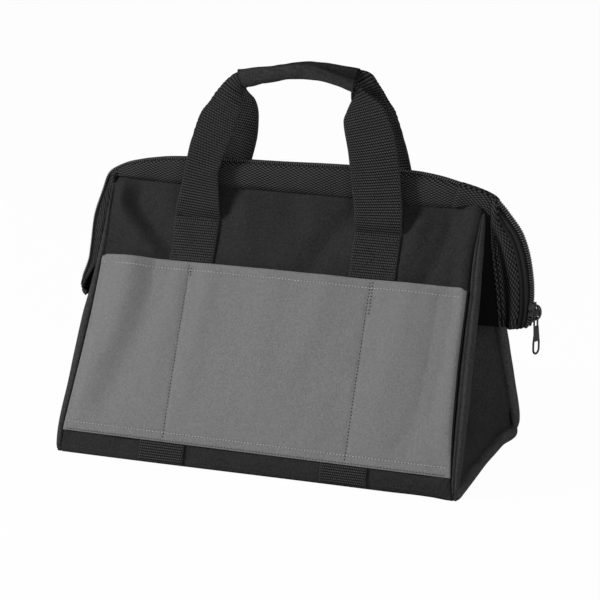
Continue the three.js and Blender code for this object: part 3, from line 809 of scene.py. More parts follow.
def make_pocket(side, face):
    """The grey pocket cloth of one side."""
    top = POCKET_TOP + 0.4

    def place(u, t):
        s = mix(POCKET_FOOT, top, t)
        x = across_side(side, s, u, 0.55)
        corner = smooth(4, 0, to_seam(side, x, s)) * smooth(top - 6, top, s)
        return on_slope(x + 0.4, s - 1.6 * corner, pocket_out(side, x, s) - 0.6 * corner, face)

    bm = grid_mesh(220, 120, place, (2 * HALF_LENGTH, top - POCKET_FOOT))
    piece = finish_piece(
        f"{side}_pocket_cloth", bm, "Grey cloth", f"{side}_side", [f"{side}_pocket_panel"], 0.9
    )


def leg_out(side, x, s):
    """How far the sewn webbing stands out of the panel's plane."""
    under = panel_out(side, x, s)
    top = max(under, mix(under, 0.3, 0.3)) + 1.5
    if POCKET_FOOT - 0.5 < s < POCKET_TOP + 0.5:
        top = min(top, pocket_out(side, x, s) - 1.2)
    return top


def make_leg(side, face, name, turn):
    """The webbing sewn flat up the panel, under the pocket."""
    low, high = 1.0, STITCH_HEIGHT + 4.5

    def place(u, t):
        s = mix(low, high, t)
        x = turn * LEG_X + mix(-0.5, 0.5, u) * WEBBING_WIDTH
        bare = 0.35 if s < POCKET_FOOT - 1 or s > POCKET_TOP + 2 else 0.0
        rim = smooth(1.6, 0, min(u, 1 - u) * WEBBING_WIDTH)
        sunk = 2.2 * smooth(STITCH_HEIGHT - 3, high, s)
        return on_slope(x, s, leg_out(side, x, s) + bare - 0.35 * rim - sunk, face)

    bm = grid_mesh(38, 130, place, (WEBBING_WIDTH, high - low))
    finish_piece(
        f"{side}_{name}_leg_webbing", bm, "Ribbed webbing", f"{side}_side", [f"{side}_{name}_webbing"], 1.4
    )


# The bound seams

# A bound seam cut across, and its width: out from the seam, out of the cloth; the plain one is at the left in front
ROLL_WIDTH = 10.6
ROLL = (
    (0.0, -2.6), (1.4, -2.2), (2.1, -0.4), (2.8, 1.0), (3.7, 1.6), (4.6, 1.3), (5.3, 0.7), (5.8, 0.6),
    (6.4, 1.2), (7.4, 2.1), (8.6, 2.1), (9.8, 0.9), (10.5, -1.0), (10.6, -3.2), (9.8, -5.6), (7.6, -7.2),
    (4.6, -7.6), (1.6, -6.4), (0.0, -2.6),
)
PLAIN_ROLL = (
    (0.0, -2.6), (0.8, -1.6), (1.5, 0.4), (2.6, 1.7), (4.2, 2.3), (6.4, 2.4), (8.4, 1.9), (9.8, 0.7),
    *ROLL[12:],
)


def make_side_roll(side, face, name, turn):
    """The rolled seam down one end of a side, round the bottom corner at its foot."""
    outline = curve_through(ROLL if turn > 0 or side == "back" else PLAIN_ROLL, 3)
    columns = len(outline) - 1
    table = SEAM_TABLES[side, turn]

    def place(u, t):
        s = mix(0.3, SLOPE - 1.0, t)
        p, q = outline[int(round((u if turn > 0 else 1 - u) * columns))]
        width = table.at(s, 2) - table.at(s)
        scale = width / ROLL_WIDTH
        flat = mix(0.5, 1.0, smooth(1.5, 9.0, width))
        foot, head = smooth(8, 0, s), smooth(SLOPE - 12, SLOPE, s)
        q = mix(q * flat, -0.9 + 0.35 * q, foot**2)
        q = mix(q, -1.6 + (q + 1.6) * 0.5, head)
        sway = 0.3 * ripple(s, turn * 9, 24, 5.0 * face) * (1 - foot)
        x = turn * (table.at(s) + 0.1 + p * scale + sway)
        return on_slope(x, s - (0.2 + 0.42 * q) * foot**2, q + 0.2 * ripple(s, p * 3, 12, 2.0), face)

    bm = grid_mesh(columns, 90, place, (36.0, SLOPE), tube=True)
    close_ends(bm)
    bmesh.ops.recalc_face_normals(bm, faces=bm.faces)
    # The rolls' cloth is the black cloth lightened as painted light, the back rolls more so
    finish_piece(
        f"{side}_{name}_seam_roll",
        bm,
        "Binding cloth" if side == "front" else "Back binding cloth",
        f"{side}_side",
        [f"{side}_{name}_binding"],
    )


# Half the width and half the height of the rolls at the ends of the base
BASE_ROLL_WIDE = 5.5
BASE_ROLL_HIGH = 4.8


def make_base_roll(name, turn):
    """The rolled seam along one end of the base."""

    def ends(t):
        return mix(0.8 if turn > 0 else 0.6, 1.0, smooth(0, 0.05, min(t, 1 - t)))

    def at(t, a):
        c, s = math.cos(a * math.tau), math.sin(a * math.tau)
        wide = BASE_ROLL_WIDE * math.copysign(abs(c) ** 0.75, c) * mix(0.85, 1.0, ends(t))
        rise = 2.0 * max(0.0, s) * ripple(t * 160, c * 4, 30, 4.0)
        return wide, BASE_ROLL_HIGH * math.copysign(abs(s) ** 0.8, s) * ends(t) + rise

    frames = []
    rows = 70
    for i in range(rows + 1):
        y = mix(-87.2 if turn > 0 else -85.5, 87.0, i / rows)
        rise = 2.4 * smooth(0.94, 1.0, i / rows)
        inward = 1.7 * smooth(-70.0, -85.0, y) if turn < 0 else 0.0
        z = 0.1 + BASE_ROLL_HIGH * ends(i / rows) + rise
        place = Vector((turn * (BASE_TABLE.at(y) - 5.4 - inward), y, z))
        frames.append((place, Vector((turn, 0, 0)), Vector((0, 0, 1))))
    bm = swept_tube(frames, Section(24, at), (30.0, 172.0))
    # The base rolls' cloth is the black cloth lightened threefold as painted light
    finish_piece(
        f"{name}_base_roll", bm, "Base binding cloth", "bag_base", [f"{name}_base_binding"]
    )


def make_base():
    """The cloth under the base, with the board inside it in its own finish."""

    def place(u, t):
        x = mix(-BASE_END, BASE_END, u)
        y = mix(BASE_BACK, -89.5 + 4.0 * smooth(-150, 110, x), t)
        rim = min(BASE_END - abs(x), BASE_BACK - abs(y))
        return x, y, 0.1 + 0.5 * smooth(3, 0, rim) + 0.15 * (1 + ripple(x, y, 30, 8.0)) * smooth(0, 20, rim)

    bm = grid_mesh(70, 44, place, (2 * BASE_END, 180.0))
    piece = finish_piece("base_cloth", bm, "Black cloth", "bag_base", ["base_panel"], 1.0)
    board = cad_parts["base_board"]
    board.data.materials.clear()
    board.data.materials.append(finish("Pressed board"))


# The gussets


def tuck_depth(z):
    """How far the middle of a gusset is pushed in at a height."""
    if z < TIP_HEIGHT:
        return mix(3.0, TUCK, (z / TIP_HEIGHT) ** 1.3)
    return mix(TUCK, 1.0, (z - TIP_HEIGHT) / (GUSSET_TOP - TIP_HEIGHT))


# Soft folds of a gusset: a row of places (across the bag, height), a depth and a half width
GUSSET_FOLDS = (
    (((82, 15), (64, 19), (47, 27)), -2.6, 3.2),
    (((84, 7), (62, 12), (44, 18)), 2.2, 8.0),
    (((58, 62), (69, 38), (76, 24)), 1.8, 7.0),
    (((56, 92), (62, 86), (60, 80)), -1.8, 5.0),
    (((52, 104), (48, 80), (36, 60)), 1.3, 9.0),
    (((40, 44), (10, 22), (-30, 12)), 1.5, 10.0),
    (((-64, 70), (-66, 52), (-72, 40)), -1.4, 6.0),
    (((-8, 92), (-20, 60), (-44, 44), (-60, 30)), -1.8, 9.0),
)


def gusset_place(turn, z, across):
    """A place on a gusset: across runs from -1 at the front seam to 1 at the back seam."""
    s = z / math.cos(LEAN)
    edge = mix(seam("front", turn, s) + 3.0, seam("back", -turn, s) + 2.4, (across + 1) / 2)
    y = (HALF_DEPTH - s * math.sin(LEAN) - 5.2 * math.cos(LEAN)) * across
    x = edge - tuck_depth(z) * math.cos(across * math.pi / 2) ** 2
    slack = ripple(y, z, 24, 21.0 + turn) * 1.5 + ripple(y, z, 9, 31.0 + turn) * 0.35
    lift = 1.5 * fold_height(GUSSET_FOLDS, turn * y, z)
    x += (slack + lift) * smooth(0, 0.2, 1 - abs(across))
    x = mix(x, BASE_TABLE.at(y) - 5.0 - 0.25 * max(0, z - 8), smooth(30, 8, z))
    return Vector((turn * x, y, z))


def make_gusset(name, turn):
    """A gusset's tucked cloth in a front and a back half, which meet at the middle fold."""
    for half, sign in (("front", -1), ("back", 1)):

        def place(u, t):
            return gusset_place(turn, mix(GUSSET_FOOT, GUSSET_TOP, t), u - 1 if sign < 0 else u)

        bm = grid_mesh(44, 100, place, (110.0, 200.0), flip=turn < 0)
        # The gusset's cloth is the black cloth lightened as painted light
        piece = finish_piece(
            f"{name}_gusset_{half}_cloth", bm, "Gusset cloth", None, [f"{name}_gusset"], 1.0
        )
        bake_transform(piece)


# The mouth


def mouth_out(face, x, z, t):
    """How far the mouth's band stands out of the middle plane, t from its foot to its top."""
    near_end = smooth(0, 22, BAND_END - abs(x))
    belly = 1.3 * math.sin(math.pi * t) + ripple(x, z, 26, 12.0 + face) * 0.9 + ripple(x, z, 60, 2.0) * 0.8
    swell = 0.9 + belly * smooth(0, 0.2, t) * smooth(0, 0.3, 1 - t)
    return 5.8 - 1.2 * t - 1.2 * smooth(0.14, 0.0, t) + swell * near_end


def make_mouth_band(side, face):
    """The open band along one side of the mouth, folded over the tape."""

    def place(u, t):
        x = mix(-BAND_END, BAND_END, u)
        z = mix(FOOT_TABLE.at(x), crown(x) - 1.7, t)
        roll = smooth(0.88, 1.0, t)
        return x, -face * (mouth_out(face, x, z, t) - 2.0 * roll), z + 0.4 * math.sin(math.pi * roll)

    def flat(u, t):
        x = mix(-BAND_END, BAND_END, u)
        return 2 * BAND_END * u, (crown(x) - FOOT_TABLE.at(x)) * t

    bm = grid_mesh(170, 24, place, flat, flip=face < 0)
    finish_piece(
        f"{side}_mouth_open_band", bm, "Open band", f"{side}_side", [f"{side}_mouth_band"], 1.4
    )


def make_mouth_tape(side, face):
    """The zip tape inside the band, its edge turned in behind the coil."""

    def place(u, t):
        x = mix(-ZIP_END, ZIP_END, u)
        down = TAPE_WIDTH * (1 - t)
        return x, -face * (0.15 + 2.6 * smooth(1.2, 2.6, down)), crown(x) - 0.8 - down

    bm = grid_mesh(120, 16, place, (2 * ZIP_END, TAPE_WIDTH), flip=face < 0)
    finish_piece(f"{side}_mouth_tape", bm, "Zip tape", f"{side}_side", [f"{side}_zip_tape"], 0.4)


# The coil's wire: its radius, and the steps in which it makes one turn
WIRE_RADIUS = 0.42
WIRE_STEPS = 10


def make_coil(name, line, turn, face, body, replaces, part_from=None):
    """One half of the coil: a wire that winds along the zip line round its cord; part_from parts it from the other."""
    deep = 0.8 if body else 1.3
    pitch = bpy.context.scene.bag_sizes.coil_pitch / MM
    length = running_lengths(line)[-1]
    count = int(length / pitch) * WIRE_STEPS
    inner = pulled_in(line, lambda t: turn)
    points, core = [], []
    for i in range(count + 1):
        t = i / count
        x, z = at_share(line, t)
        far_x, far_z = at_share(inner, t)
        inward = Vector((far_x - x, 0, far_z - z)).normalized()
        angle = math.tau * (i / WIRE_STEPS + (0.0 if face > 0 else 0.5))
        parted = 0.0 if part_from is None else 3.0 * smooth(part_from, 1.0, t)
        sunk = deep + 0.4 + (0.0 if body or turn > 0 else 1.6 * smooth(0.93, 1.0, t))
        out = face * (1.35 + 1.5 * math.cos(angle) + parted)
        points.append(Vector((x, -out, z)) + inward * (sunk - deep * math.sin(angle)))
        if i % WIRE_STEPS == 0:
            core.append(Vector((x, -face * (1.5 + parted), z)) + inward * (sunk + 0.1))
    aside = (0.95, 0.0, 0.31) if abs(points[0].z - points[-1].z) > 30 else (0.31, 0.0, 0.95)
    cord = swept_tube(frames_along(core, aside), round_section(8, 1.2, deep - 0.15))
    bm = swept_tube(frames_along(points, aside), round_section(5, WIRE_RADIUS))
    # The cord takes the lining's finish, whose near-black is painted shade
    return (
        finish_piece(name, bm, "Coil nylon", body, replaces),
        finish_piece(f"{name}_cord", cord, "Lining", body),
    )


def make_mouth_coil(side, face):
    """The coil along one side of the mouth."""
    line = [(x, crown(x)) for x in (mix(-ZIP_END, ZIP_END, i / 100) for i in range(101))]
    make_coil(f"{side}_mouth_coil", line, 1, face, f"{side}_side", [f"{side}_zip_coil"])


# The ears


def ear_line(name, side):
    """The zip line of half an ear, from the mouth to the tip."""
    line = EAR_LINES[name]
    if (name, side) == ("left", "back"):
        line = (*line, *TIP_BEHIND)
    return curve_through(line, 4)


def band_edges(name, side):
    """The outer and the inner edge of half an ear's band, from the pleat to the tip."""
    turn = ENDS[name]
    start = [(x, crown(turn * x)) for x in range(int(EAR_FIRST[name]), 149, 2)]
    wide = 9.4 if name == "right" else 5.0
    begin, turned = (-0.4, 0.3) if name == "right" else (2.9, 0.14)
    outer = pulled_in([*start, *ear_line(name, side)], lambda t: mix(begin, wide, smooth(turned, turned + 0.24, t)))
    inner = curve_through(EAR_INNER[name, side], 6)
    rows = [at_share(line, i / EAR_ROWS) for line in (outer, inner) for i in range(EAR_ROWS + 1)]
    return rows[: EAR_ROWS + 1], rows[EAR_ROWS + 1 :]


def band_out(name, side, u, t):
    """How far an ear's band stands out of the bag's middle plane: u down the zip, t from the zip to the gusset."""
    hang = smooth(0.2, 0.62, u)
    uneven = ripple(u * 70, t * 22, 9, 14.0) * 0.35
    if name == "right":
        folds = 3.3 * bump(t, 0.34, 0.2) - 3.4 * bump(t, 0.74, 0.17) + 0.9 * bump(t, 1.0, 0.1) - bump(t, 0.0, 0.07)
        shoulder = 2.2 * bump(u, 0.32, 0.08) * math.sin(math.pi * t) - 1.8 * bump(u - 0.1 * t, 0.2, 0.025)
        over = 1.5 * smooth(0.2, 0.0, u) + 0.6 * bump(u, 0.03, 0.03)
        out = 5.3 + folds * hang + shoulder + over + uneven + 1.2 * math.sin(math.pi * t) * (1 - hang)
        return mix(out, 0.8, smooth(0.16, 0.0, t) ** 2 * smooth(0.46, 0.34, u))
    pleats = 0.5 * math.cos((u * 15 - t * 1.6) * math.tau) * smooth(0.16, 0.3, u) * smooth(0.85, 0.6, u)
    flare = smooth(0.8, 1.0, u) * (3.0 if side == "front" else 1.0)
    own = 5.3 + 1.6 * bump(t, 0.5, 0.3) * hang + pleats * smooth(0, 0.25, t) + flare + uneven
    mouth = mouth_out(FACES[side], -143 - 110 * u, 210, 1 - t) + mix(-0.9, 0.6, smooth(0, 0.07, u))
    return mix(mouth, own, smooth(0.06, 0.2, u))


def cut_level(name, x, z, share):
    """The height of a place on an ear, brought to the level end of the right ear's tip by a share."""
    return mix(z, EAR_TIP_LEVEL + 3.0 * smooth(184, 195, x), share) if name == "right" else z


def blend_ear(piece):
    """Bakes the placement of an ear's piece into its mesh."""
    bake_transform(piece)


def make_ear(name, side, face):
    """Half an ear: its band, tape and coil, in front or behind."""
    turn = ENDS[name]
    cad = f"{name}_ear_{side}"
    outer, inner = band_edges(name, side)

    def band(u, t):
        a, b = outer[round(u * EAR_ROWS)], inner[round(u * EAR_ROWS)]
        x = mix(a[0], b[0], t)
        z = cut_level(name, x, mix(a[1], b[1], t), smooth(0.94, 1.0, u))
        return turn * x, -face * band_out(name, side, u, t), z

    def band_map(u, t):
        i = round(u * EAR_ROWS)
        return u * 120, t * math.dist(outer[i], inner[i])

    bm = grid_mesh(EAR_ROWS, 30, band, band_map, flip=turn * face > 0)
    piece = finish_piece(f"{cad}_open_band", bm, "Open band", None, [f"{cad}_band"], 1.3)
    blend_ear(piece)

    line = ear_line(name, side)
    wide = 10.4 if name == "right" else 5.8

    def reach(u):
        return mix(6.0, wide, smooth(0.1, 0.35, u))

    far = pulled_in(line, reach)
    near = pulled_in(line, lambda u: EAR_TAPE_EDGE)

    def tape(u, t):
        a, b = at_share(near, u), at_share(far, u)
        hang = smooth(0.12, 0.4, u)
        if name == "right":
            ridge = 1.6 * bump(t, 0.46, 0.2) - 1.3 * bump(t, 0.66, 0.05) + 2.2 * bump(t, 0.83, 0.12)
        else:
            ridge = 1.8 * bump(t, 0.66, 0.26)
        inset = t * (reach(u) - EAR_TAPE_EDGE)
        out = 0.15 + 2.95 * smooth(1.9, 3.3, inset) + (ridge * hang + 0.8 * t) * smooth(0.2, 0.4, t)
        if (name, side) == ("left", "front"):
            out += 3.0 * smooth(0.82, 1.0, u)
        x = mix(a[0], b[0], t)
        return turn * x, -face * out, cut_level(name, x, mix(a[1], b[1], t), smooth(0.96, 1.0, u))

    bm = grid_mesh(90, 30, tape, (110.0, 10.0), flip=turn * face > 0)
    piece = finish_piece(f"{cad}_zip_tape", bm, "Zip tape", None, [f"{cad}_tape"], 0.4)
    blend_ear(piece)

    world = [(turn * x, z) for x, z in line]
    part_from = 0.9 if name == "right" else None
    for piece in make_coil(f"{cad}_zip_coil", world, turn, face, None, [f"{cad}_coil"], part_from):
        blend_ear(piece)

    if (name, side) == ("left", "front"):
        ends = outer[-1], inner[-1]
        points = []
        for i in range(25):
            t = mix(0.06, 1.0, i / 24)
            x, z = mix(ends[0][0], ends[1][0], t), mix(ends[0][1], ends[1][1], t)
            points.append((turn * x, -face * (band_out(name, side, 1.0, t) + 0.2), z))
        bm = swept_tube(frames_along(points, (0.7, 0, 0.7)), round_section(12, 1.2, 0.9), (9.0, 30.0))
        piece = finish_piece(f"{cad}_turned_end", bm, "Zip tape")
        blend_ear(piece)


def make_ear_lining(name, side, face):
    """The gusset's upper cloth inside an ear, from the tuck to the band, turned under along the bottom."""
    turn = ENDS[name]
    inner = curve_through(EAR_INNER[name, "back"], 6)
    first = next(i for i, point in enumerate(inner) if point[0] > 147)
    line = inner[first:]

    def place(u, t):
        under = smooth(0.92, 1.0, u)
        edge = at_share(line, min(u / 0.94, 1.0))
        x = mix(edge[0] + 2.5, mix(149.0, 100.0, smooth(0.1, 1, u)), t)
        out = mix(4.4, 3.9, t) + 2.0 * math.sin(math.pi * t) * (1 - u)
        return turn * x, -face * out * (1 - under), edge[1] + 2.0 * smooth(0.2, 0.0, u) - 0.6 * under - 2.0 * t * u

    bm = grid_mesh(60, 30, place, (90.0, 60.0), flip=turn * face > 0)
    # Its near-black finish is painted shade for the hollow under the ear
    piece = finish_piece(
        f"{name}_ear_{side}_lining", bm, "Lining", None, [f"{name}_gusset"], 0.9
    )
    blend_ear(piece)


# The handles

# Rows of a handle's webbing: outer edge (x, z), inner edge (x, z), depth from the middle plane, share folded behind
FRONT_WEBBING = (
    ((-94.5, 178.6), (-56.5, 178.6), 14.6, 0.0), ((-93.4, 187.0), (-56.2, 188.0), 17.4, 0.0),
    ((-89.6, 201.1), (-57.0, 202.6), 17.0, 0.0), ((-86.8, 214.0), (-57.4, 215.0), 16.4, 0.0),
    ((-84.2, 226.5), (-55.0, 225.0), 15.6, 0.0), ((-80.9, 241.0), (-51.0, 236.0), 14.6, 0.0),
    ((-77.4, 253.0), (-46.6, 247.0), 13.2, 0.04), ((-73.2, 264.0), (-43.0, 257.5), 12.0, 0.12),
    ((-67.0, 271.8), (-40.8, 265.6), 11.0, 0.22), ((-61.2, 280.2), (-39.0, 272.6), 9.8, 0.34),
    ((-54.8, 288.0), (-38.4, 278.2), 8.4, 0.44), ((-48.6, 293.4), (-38.6, 281.6), 7.6, 0.5),
    ((-42.5, 296.2), (-37.8, 284.0), 7.0, 0.5), ((-34.0, 296.9), (-30.4, 287.2), 7.0, 0.5),
    ((-9.0, 300.8), (-7.8, 293.4), 7.0, 0.5), ((14.0, 302.4), (14.6, 295.4), 7.0, 0.5),
    ((27.0, 299.6), (28.0, 294.8), 7.0, 0.5), ((38.4, 296.6), (39.2, 292.2), 7.0, 0.5),
    ((47.0, 294.4), (47.4, 289.4), 7.0, 0.5), ((52.6, 292.6), (51.8, 286.4), 7.0, 0.5),
    ((56.9, 290.6), (52.6, 283.4), 7.6, 0.42), ((63.1, 286.2), (50.9, 280.4), 8.6, 0.3),
    ((68.6, 283.2), (48.8, 276.0), 9.4, 0.2), ((74.6, 279.4), (46.8, 270.8), 10.2, 0.1),
    ((80.2, 272.4), (44.8, 264.6), 11.2, 0.03), ((86.0, 257.6), (46.4, 255.6), 12.8, 0.0),
    ((89.6, 242.0), (49.8, 242.0), 14.2, 0.0), ((92.4, 227.0), (52.0, 228.0), 15.4, 0.0),
    ((94.0, 212.0), (54.2, 212.0), 16.4, 0.0), ((95.2, 198.0), (56.4, 197.0), 17.2, 0.0),
    ((95.0, 187.0), (57.0, 187.0), 17.4, 0.0), ((94.6, 178.6), (57.2, 178.6), 14.6, 0.0),
)
BACK_WEBBING = (
    ((94.5, 178.6), (56.5, 178.6), 14.6, 0.0), ((94.2, 192.0), (56.4, 192.0), 17.4, 0.0),
    ((93.2, 208.0), (56.0, 207.0), 17.0, 0.0), ((91.0, 224.0), (54.6, 221.5), 16.2, 0.0),
    ((88.4, 237.0), (52.2, 234.0), 15.2, 0.0), ((84.2, 253.6), (48.6, 249.0), 13.6, 0.02),
    ((79.2, 270.0), (46.2, 262.0), 12.0, 0.1), ((74.4, 277.8), (44.6, 271.0), 10.6, 0.2),
    ((70.4, 285.2), (43.6, 277.6), 9.4, 0.3), ((66.4, 291.4), (43.8, 283.0), 8.4, 0.4),
    ((62.6, 297.2), (46.0, 288.0), 7.4, 0.5), ((57.0, 300.4), (46.4, 289.4), 7.0, 0.5),
    ((48.0, 301.4), (44.0, 290.0), 7.0, 0.5), ((35.0, 301.6), (34.0, 292.8), 7.0, 0.5),
    ((10.0, 302.8), (10.0, 294.0), 7.0, 0.5), ((-14.0, 301.4), (-12.0, 290.4), 7.0, 0.5),
    ((-31.0, 296.4), (-29.0, 286.4), 7.0, 0.5), ((-41.0, 294.6), (-38.6, 284.8), 7.2, 0.5),
    ((-50.0, 291.0), (-43.4, 281.6), 8.0, 0.42), ((-57.0, 285.4), (-41.2, 277.4), 9.0, 0.3),
    ((-64.0, 278.0), (-36.9, 272.6), 10.0, 0.18), ((-69.4, 268.0), (-34.9, 265.0), 11.4, 0.08),
    ((-72.0, 257.0), (-35.0, 254.6), 12.6, 0.0), ((-74.6, 241.6), (-37.0, 240.0), 14.2, 0.0),
    ((-78.4, 225.0), (-41.6, 224.0), 15.6, 0.0), ((-85.0, 209.0), (-48.0, 208.0), 16.8, 0.0),
    ((-91.6, 193.0), (-53.8, 192.0), 17.4, 0.0), ((-94.5, 178.6), (-56.5, 178.6), 14.6, 0.0),
)


def make_handle(side, face, table):
    """The webbing loop of one handle, folded in half where it enters the sleeve."""
    steps = 7
    outer = curve_through([row[0] for row in table], steps)
    inner = curve_through([row[1] for row in table], steps)
    depths = curve_through([(row[2],) for row in table], steps)
    shares = curve_through([(row[3],) for row in table], steps)
    rows = len(outer) - 1
    middle = [((a[0] + b[0]) / 2, (a[1] + b[1]) / 2) for a, b in zip(outer, inner)]
    lengths = running_lengths(middle)

    def place(u, t):
        i = int(round(t * rows))
        share = min(0.5, max(0.0, shares[i][0]))
        depth = depths[i][0]
        a = (u - share) / (1 - share)
        behind = 0.0
        if a < 0:
            behind = min(-a * 10, 1.0)
            a = -a * 0.97
        x, z = mix(outer[i][0], inner[i][0], a), mix(outer[i][1], inner[i][1], a)
        gathered = smooth(0.1, 0.5, share)
        curl = 1.5 * math.sin(math.pi * a) * (0.35 + 1.2 * gathered)
        wave = ripple(u * 38, lengths[i], 15, 41.0 * face) * 0.5 + ripple(u * 38, lengths[i], 38, 9.0 * face) * 1.0
        rim = 0.3 * smooth(0.06, 0.0, min(u, 1 - u))
        tight = 0.5 if side == "front" and middle[i][0] < 0 else 0.12
        pleat = tight * math.cos(lengths[i] / 3.6 * math.tau) * smooth(0.12, 0.3, share) * smooth(0.5, 0.47, share)
        out = depth + curl + wave * smooth(0, 0.04, min(t, 1 - t)) * (1 - gathered) + pleat - rim - 3.4 * behind
        return x, -face * out, z

    def flat(u, t):
        i = int(round(t * rows))
        a, b = middle[max(i - 9, 0)], middle[min(i + 9, rows)]
        aside = Vector(outer[i]).lerp(Vector(inner[i]), u) - Vector(middle[i])
        return u * WEBBING_WIDTH, lengths[i] + aside.dot((Vector(b) - Vector(a)).normalized())

    bm = grid_mesh(40, rows, place, flat)
    bm.normal_update()
    turned = sum(f.normal.y * f.calc_area() for f in bm.faces)
    if turned * face > 0:
        bmesh.ops.reverse_faces(bm, faces=bm.faces)
    finish_piece(
        f"{side}_handle_loop", bm, "Ribbed webbing", f"{side}_handle", [f"{side}_handle_webbing"], 1.5
    )


# Rows of a sleeve: upper edge (x, z), lower edge (x, z)
FRONT_SLEEVE = (
    ((-43.6, 298.0), (-37.6, 283.9)), ((-35.0, 299.3), (-30.6, 285.6)), ((-22.0, 301.2), (-18.4, 289.3)),
    ((-9.3, 303.0), (-7.6, 291.9)), ((5.0, 304.7), (6.0, 293.2)), ((16.6, 304.7), (18.0, 293.5)),
    ((26.6, 302.0), (28.0, 292.9)), ((38.0, 298.5), (39.0, 290.5)), ((46.0, 296.4), (46.5, 288.1)),
    ((52.4, 294.6), (53.0, 285.5)),
)
BACK_SLEEVE = (
    ((-34.0, 296.4), (-30.0, 285.4)), ((-22.0, 298.8), (-18.0, 287.6)), ((-12.0, 301.6), (-8.0, 290.0)),
    ((-0.4, 303.9), (2.0, 291.5)), ((10.3, 305.1), (11.0, 292.4)), ((19.4, 305.2), (19.0, 292.6)),
    ((28.4, 304.9), (27.0, 292.0)), ((40.1, 303.6), (37.6, 291.0)), ((51.6, 302.3), (46.9, 288.8)),
)


# Creases of a sleeve: share along, share round, width and depth
FRONT_CREASES = ((0.5, 0.02, 0.02, 1.6), (0.38, 0.97, 0.025, 1.1), (0.2, 0.04, 0.04, 0.8))
BACK_CREASES = ((0.5, 0.0, 0.04, 0.7), (0.75, 0.95, 0.04, 0.6))


def make_sleeve(side, face, table, creases):
    """The cloth sleeve round the folded webbing, with its sewn edge and its creases."""
    steps = 12
    upper = curve_through([row[0] for row in table], steps)
    lower = curve_through([row[1] for row in table], steps)
    rows = len(upper) - 1

    def place(u, t):
        i = int(round(t * rows))
        top, foot = upper[i], lower[i]
        mid = Vector(((top[0] + foot[0]) / 2, 0, (top[1] + foot[1]) / 2))
        up = Vector((top[0] - foot[0], 0, top[1] - foot[1])) / 2
        angle = u * math.tau
        c, s = math.cos(angle), math.sin(angle)
        swell = noise.noise(Vector((t * 9, c * 0.8, s * 0.8 + 8 * face)))
        depth = 4.5 * math.copysign(abs(c) ** 0.8, c) * (1 + 0.08 * swell)
        high = math.copysign(abs(s) ** 0.85, s) * (1 + 0.05 * swell)
        dent = 0.0
        for along, round_at, width, amount in creases:
            round_by = (u - round_at + 0.5) % 1 - 0.5
            dent += amount * bump(t - along + round_by * 0.5, 0, width) * bump(round_by, 0, 0.17)
        seam_at = mix(0.2, 0.1, smooth(0.5, 1.0, t)) if face > 0 else 0.9
        ridge = 1.4 * bump((u - seam_at + 0.5) % 1, 0.5, 0.026) * smooth(0.5, 0.54, t)
        out = 7.0 + depth + (ridge - dent) * max(0.0, c) ** 0.5 - 1.9 * high * smooth(0.42, 0.62, t)
        place_at = mid + up * high
        return place_at.x, -face * out, place_at.z

    bm = grid_mesh(44, rows, place, (42.0, 100.0), tube=True)
    bmesh.ops.recalc_face_normals(bm, faces=bm.faces)
    # The front grip's cloth is lightened as a painted highlight, the back grip's darkened as painted shade
    look = f"{side.title()} grip cloth"
    finish_piece(f"{side}_grip_cloth", bm, look, f"{side}_handle", [f"{side}_grip_sleeve"], 0.8)


# The slider and its pull

# The slider's middle, how far its upper end leans out, and its own directions outward and up
SLIDER_PLACE = Vector((194.7, 0.0, 126.5))
SLIDER_TILT = 0.062
SLIDER_OUT = Vector((math.cos(SLIDER_TILT), 0.0, -math.sin(SLIDER_TILT)))
SLIDER_UP = Vector((math.sin(SLIDER_TILT), 0.0, math.cos(SLIDER_TILT)))

# Its plate and the plate's raised middle, and the block under the bail with its foot: low corner, high corner,
# rounding and taper, drawn with x out, y across and z up
SLIDER_PLATES = (
    ((0.3, -4.4, -7.4), (1.5, 4.4, 7.4), 0.5, 0.84),
    ((1.1, -2.2, -3.0), (2.1, 2.2, 3.0), 0.45, 0.9),
)
SLIDER_BLOCKS = (
    ((1.2, -1.2, -2.5), (5.2, 1.2, 2.5), 0.45),
    ((2.9, -1.1, 1.5), (5.2, 1.1, 4.9), 0.45),
)

# How far out from the slider's middle the pull hangs, and how it is turned
PULL_OUT = 2.6
PULL_TWIST = math.radians(-18)

# The pull's loops, the eye and the ring: half width, top, bottom, width and thickness of the bar
PULL_EYE = (2.2, -3.6, -11.6, 0.75, 0.62)
PULL_RING = (3.6, -19.6, -31.9, 0.85, 0.62)

# The neck between them: low corner, high corner, rounding and taper
PULL_NECK = (
    ((-0.55, -3.3, -17.4), (0.55, 3.3, -10.4), 0.35, 0.92),
    ((-0.75, -1.0, -20.6), (0.75, 1.0, -11.0), 0.3),
    ((-0.55, -4.2, -22.4), (0.55, 4.2, -16.4), 0.35, 0.78),
)


def in_frame(bm, origin, out, up):
    """Turns a mesh drawn with x out, y across and z up into its place."""
    across = Vector((0, 1, 0))
    turn = Matrix((out, across, up)).transposed().to_4x4()
    bmesh.ops.transform(bm, matrix=Matrix.Translation(origin) @ turn, verts=bm.verts)


def rounded_box(low, high, rounding, taper=None):
    """A box with rounded edges; taper narrows its upper end across."""
    bm = bmesh.new()
    bmesh.ops.create_cube(bm, size=1.0)
    for vert in bm.verts:
        share = [c + 0.5 for c in vert.co]
        vert.co = Vector([mix(a, b, k) for a, b, k in zip(low, high, share)])
        if taper and vert.co.z > (low[2] + high[2]) / 2:
            vert.co.y *= taper
    bmesh.ops.bevel(
        bm,
        geom=bm.edges[:],
        offset=rounding,
        offset_type="OFFSET",
        segments=3,
        profile=0.5,
        affect="EDGES",
        material=-1,
    )
    return bm


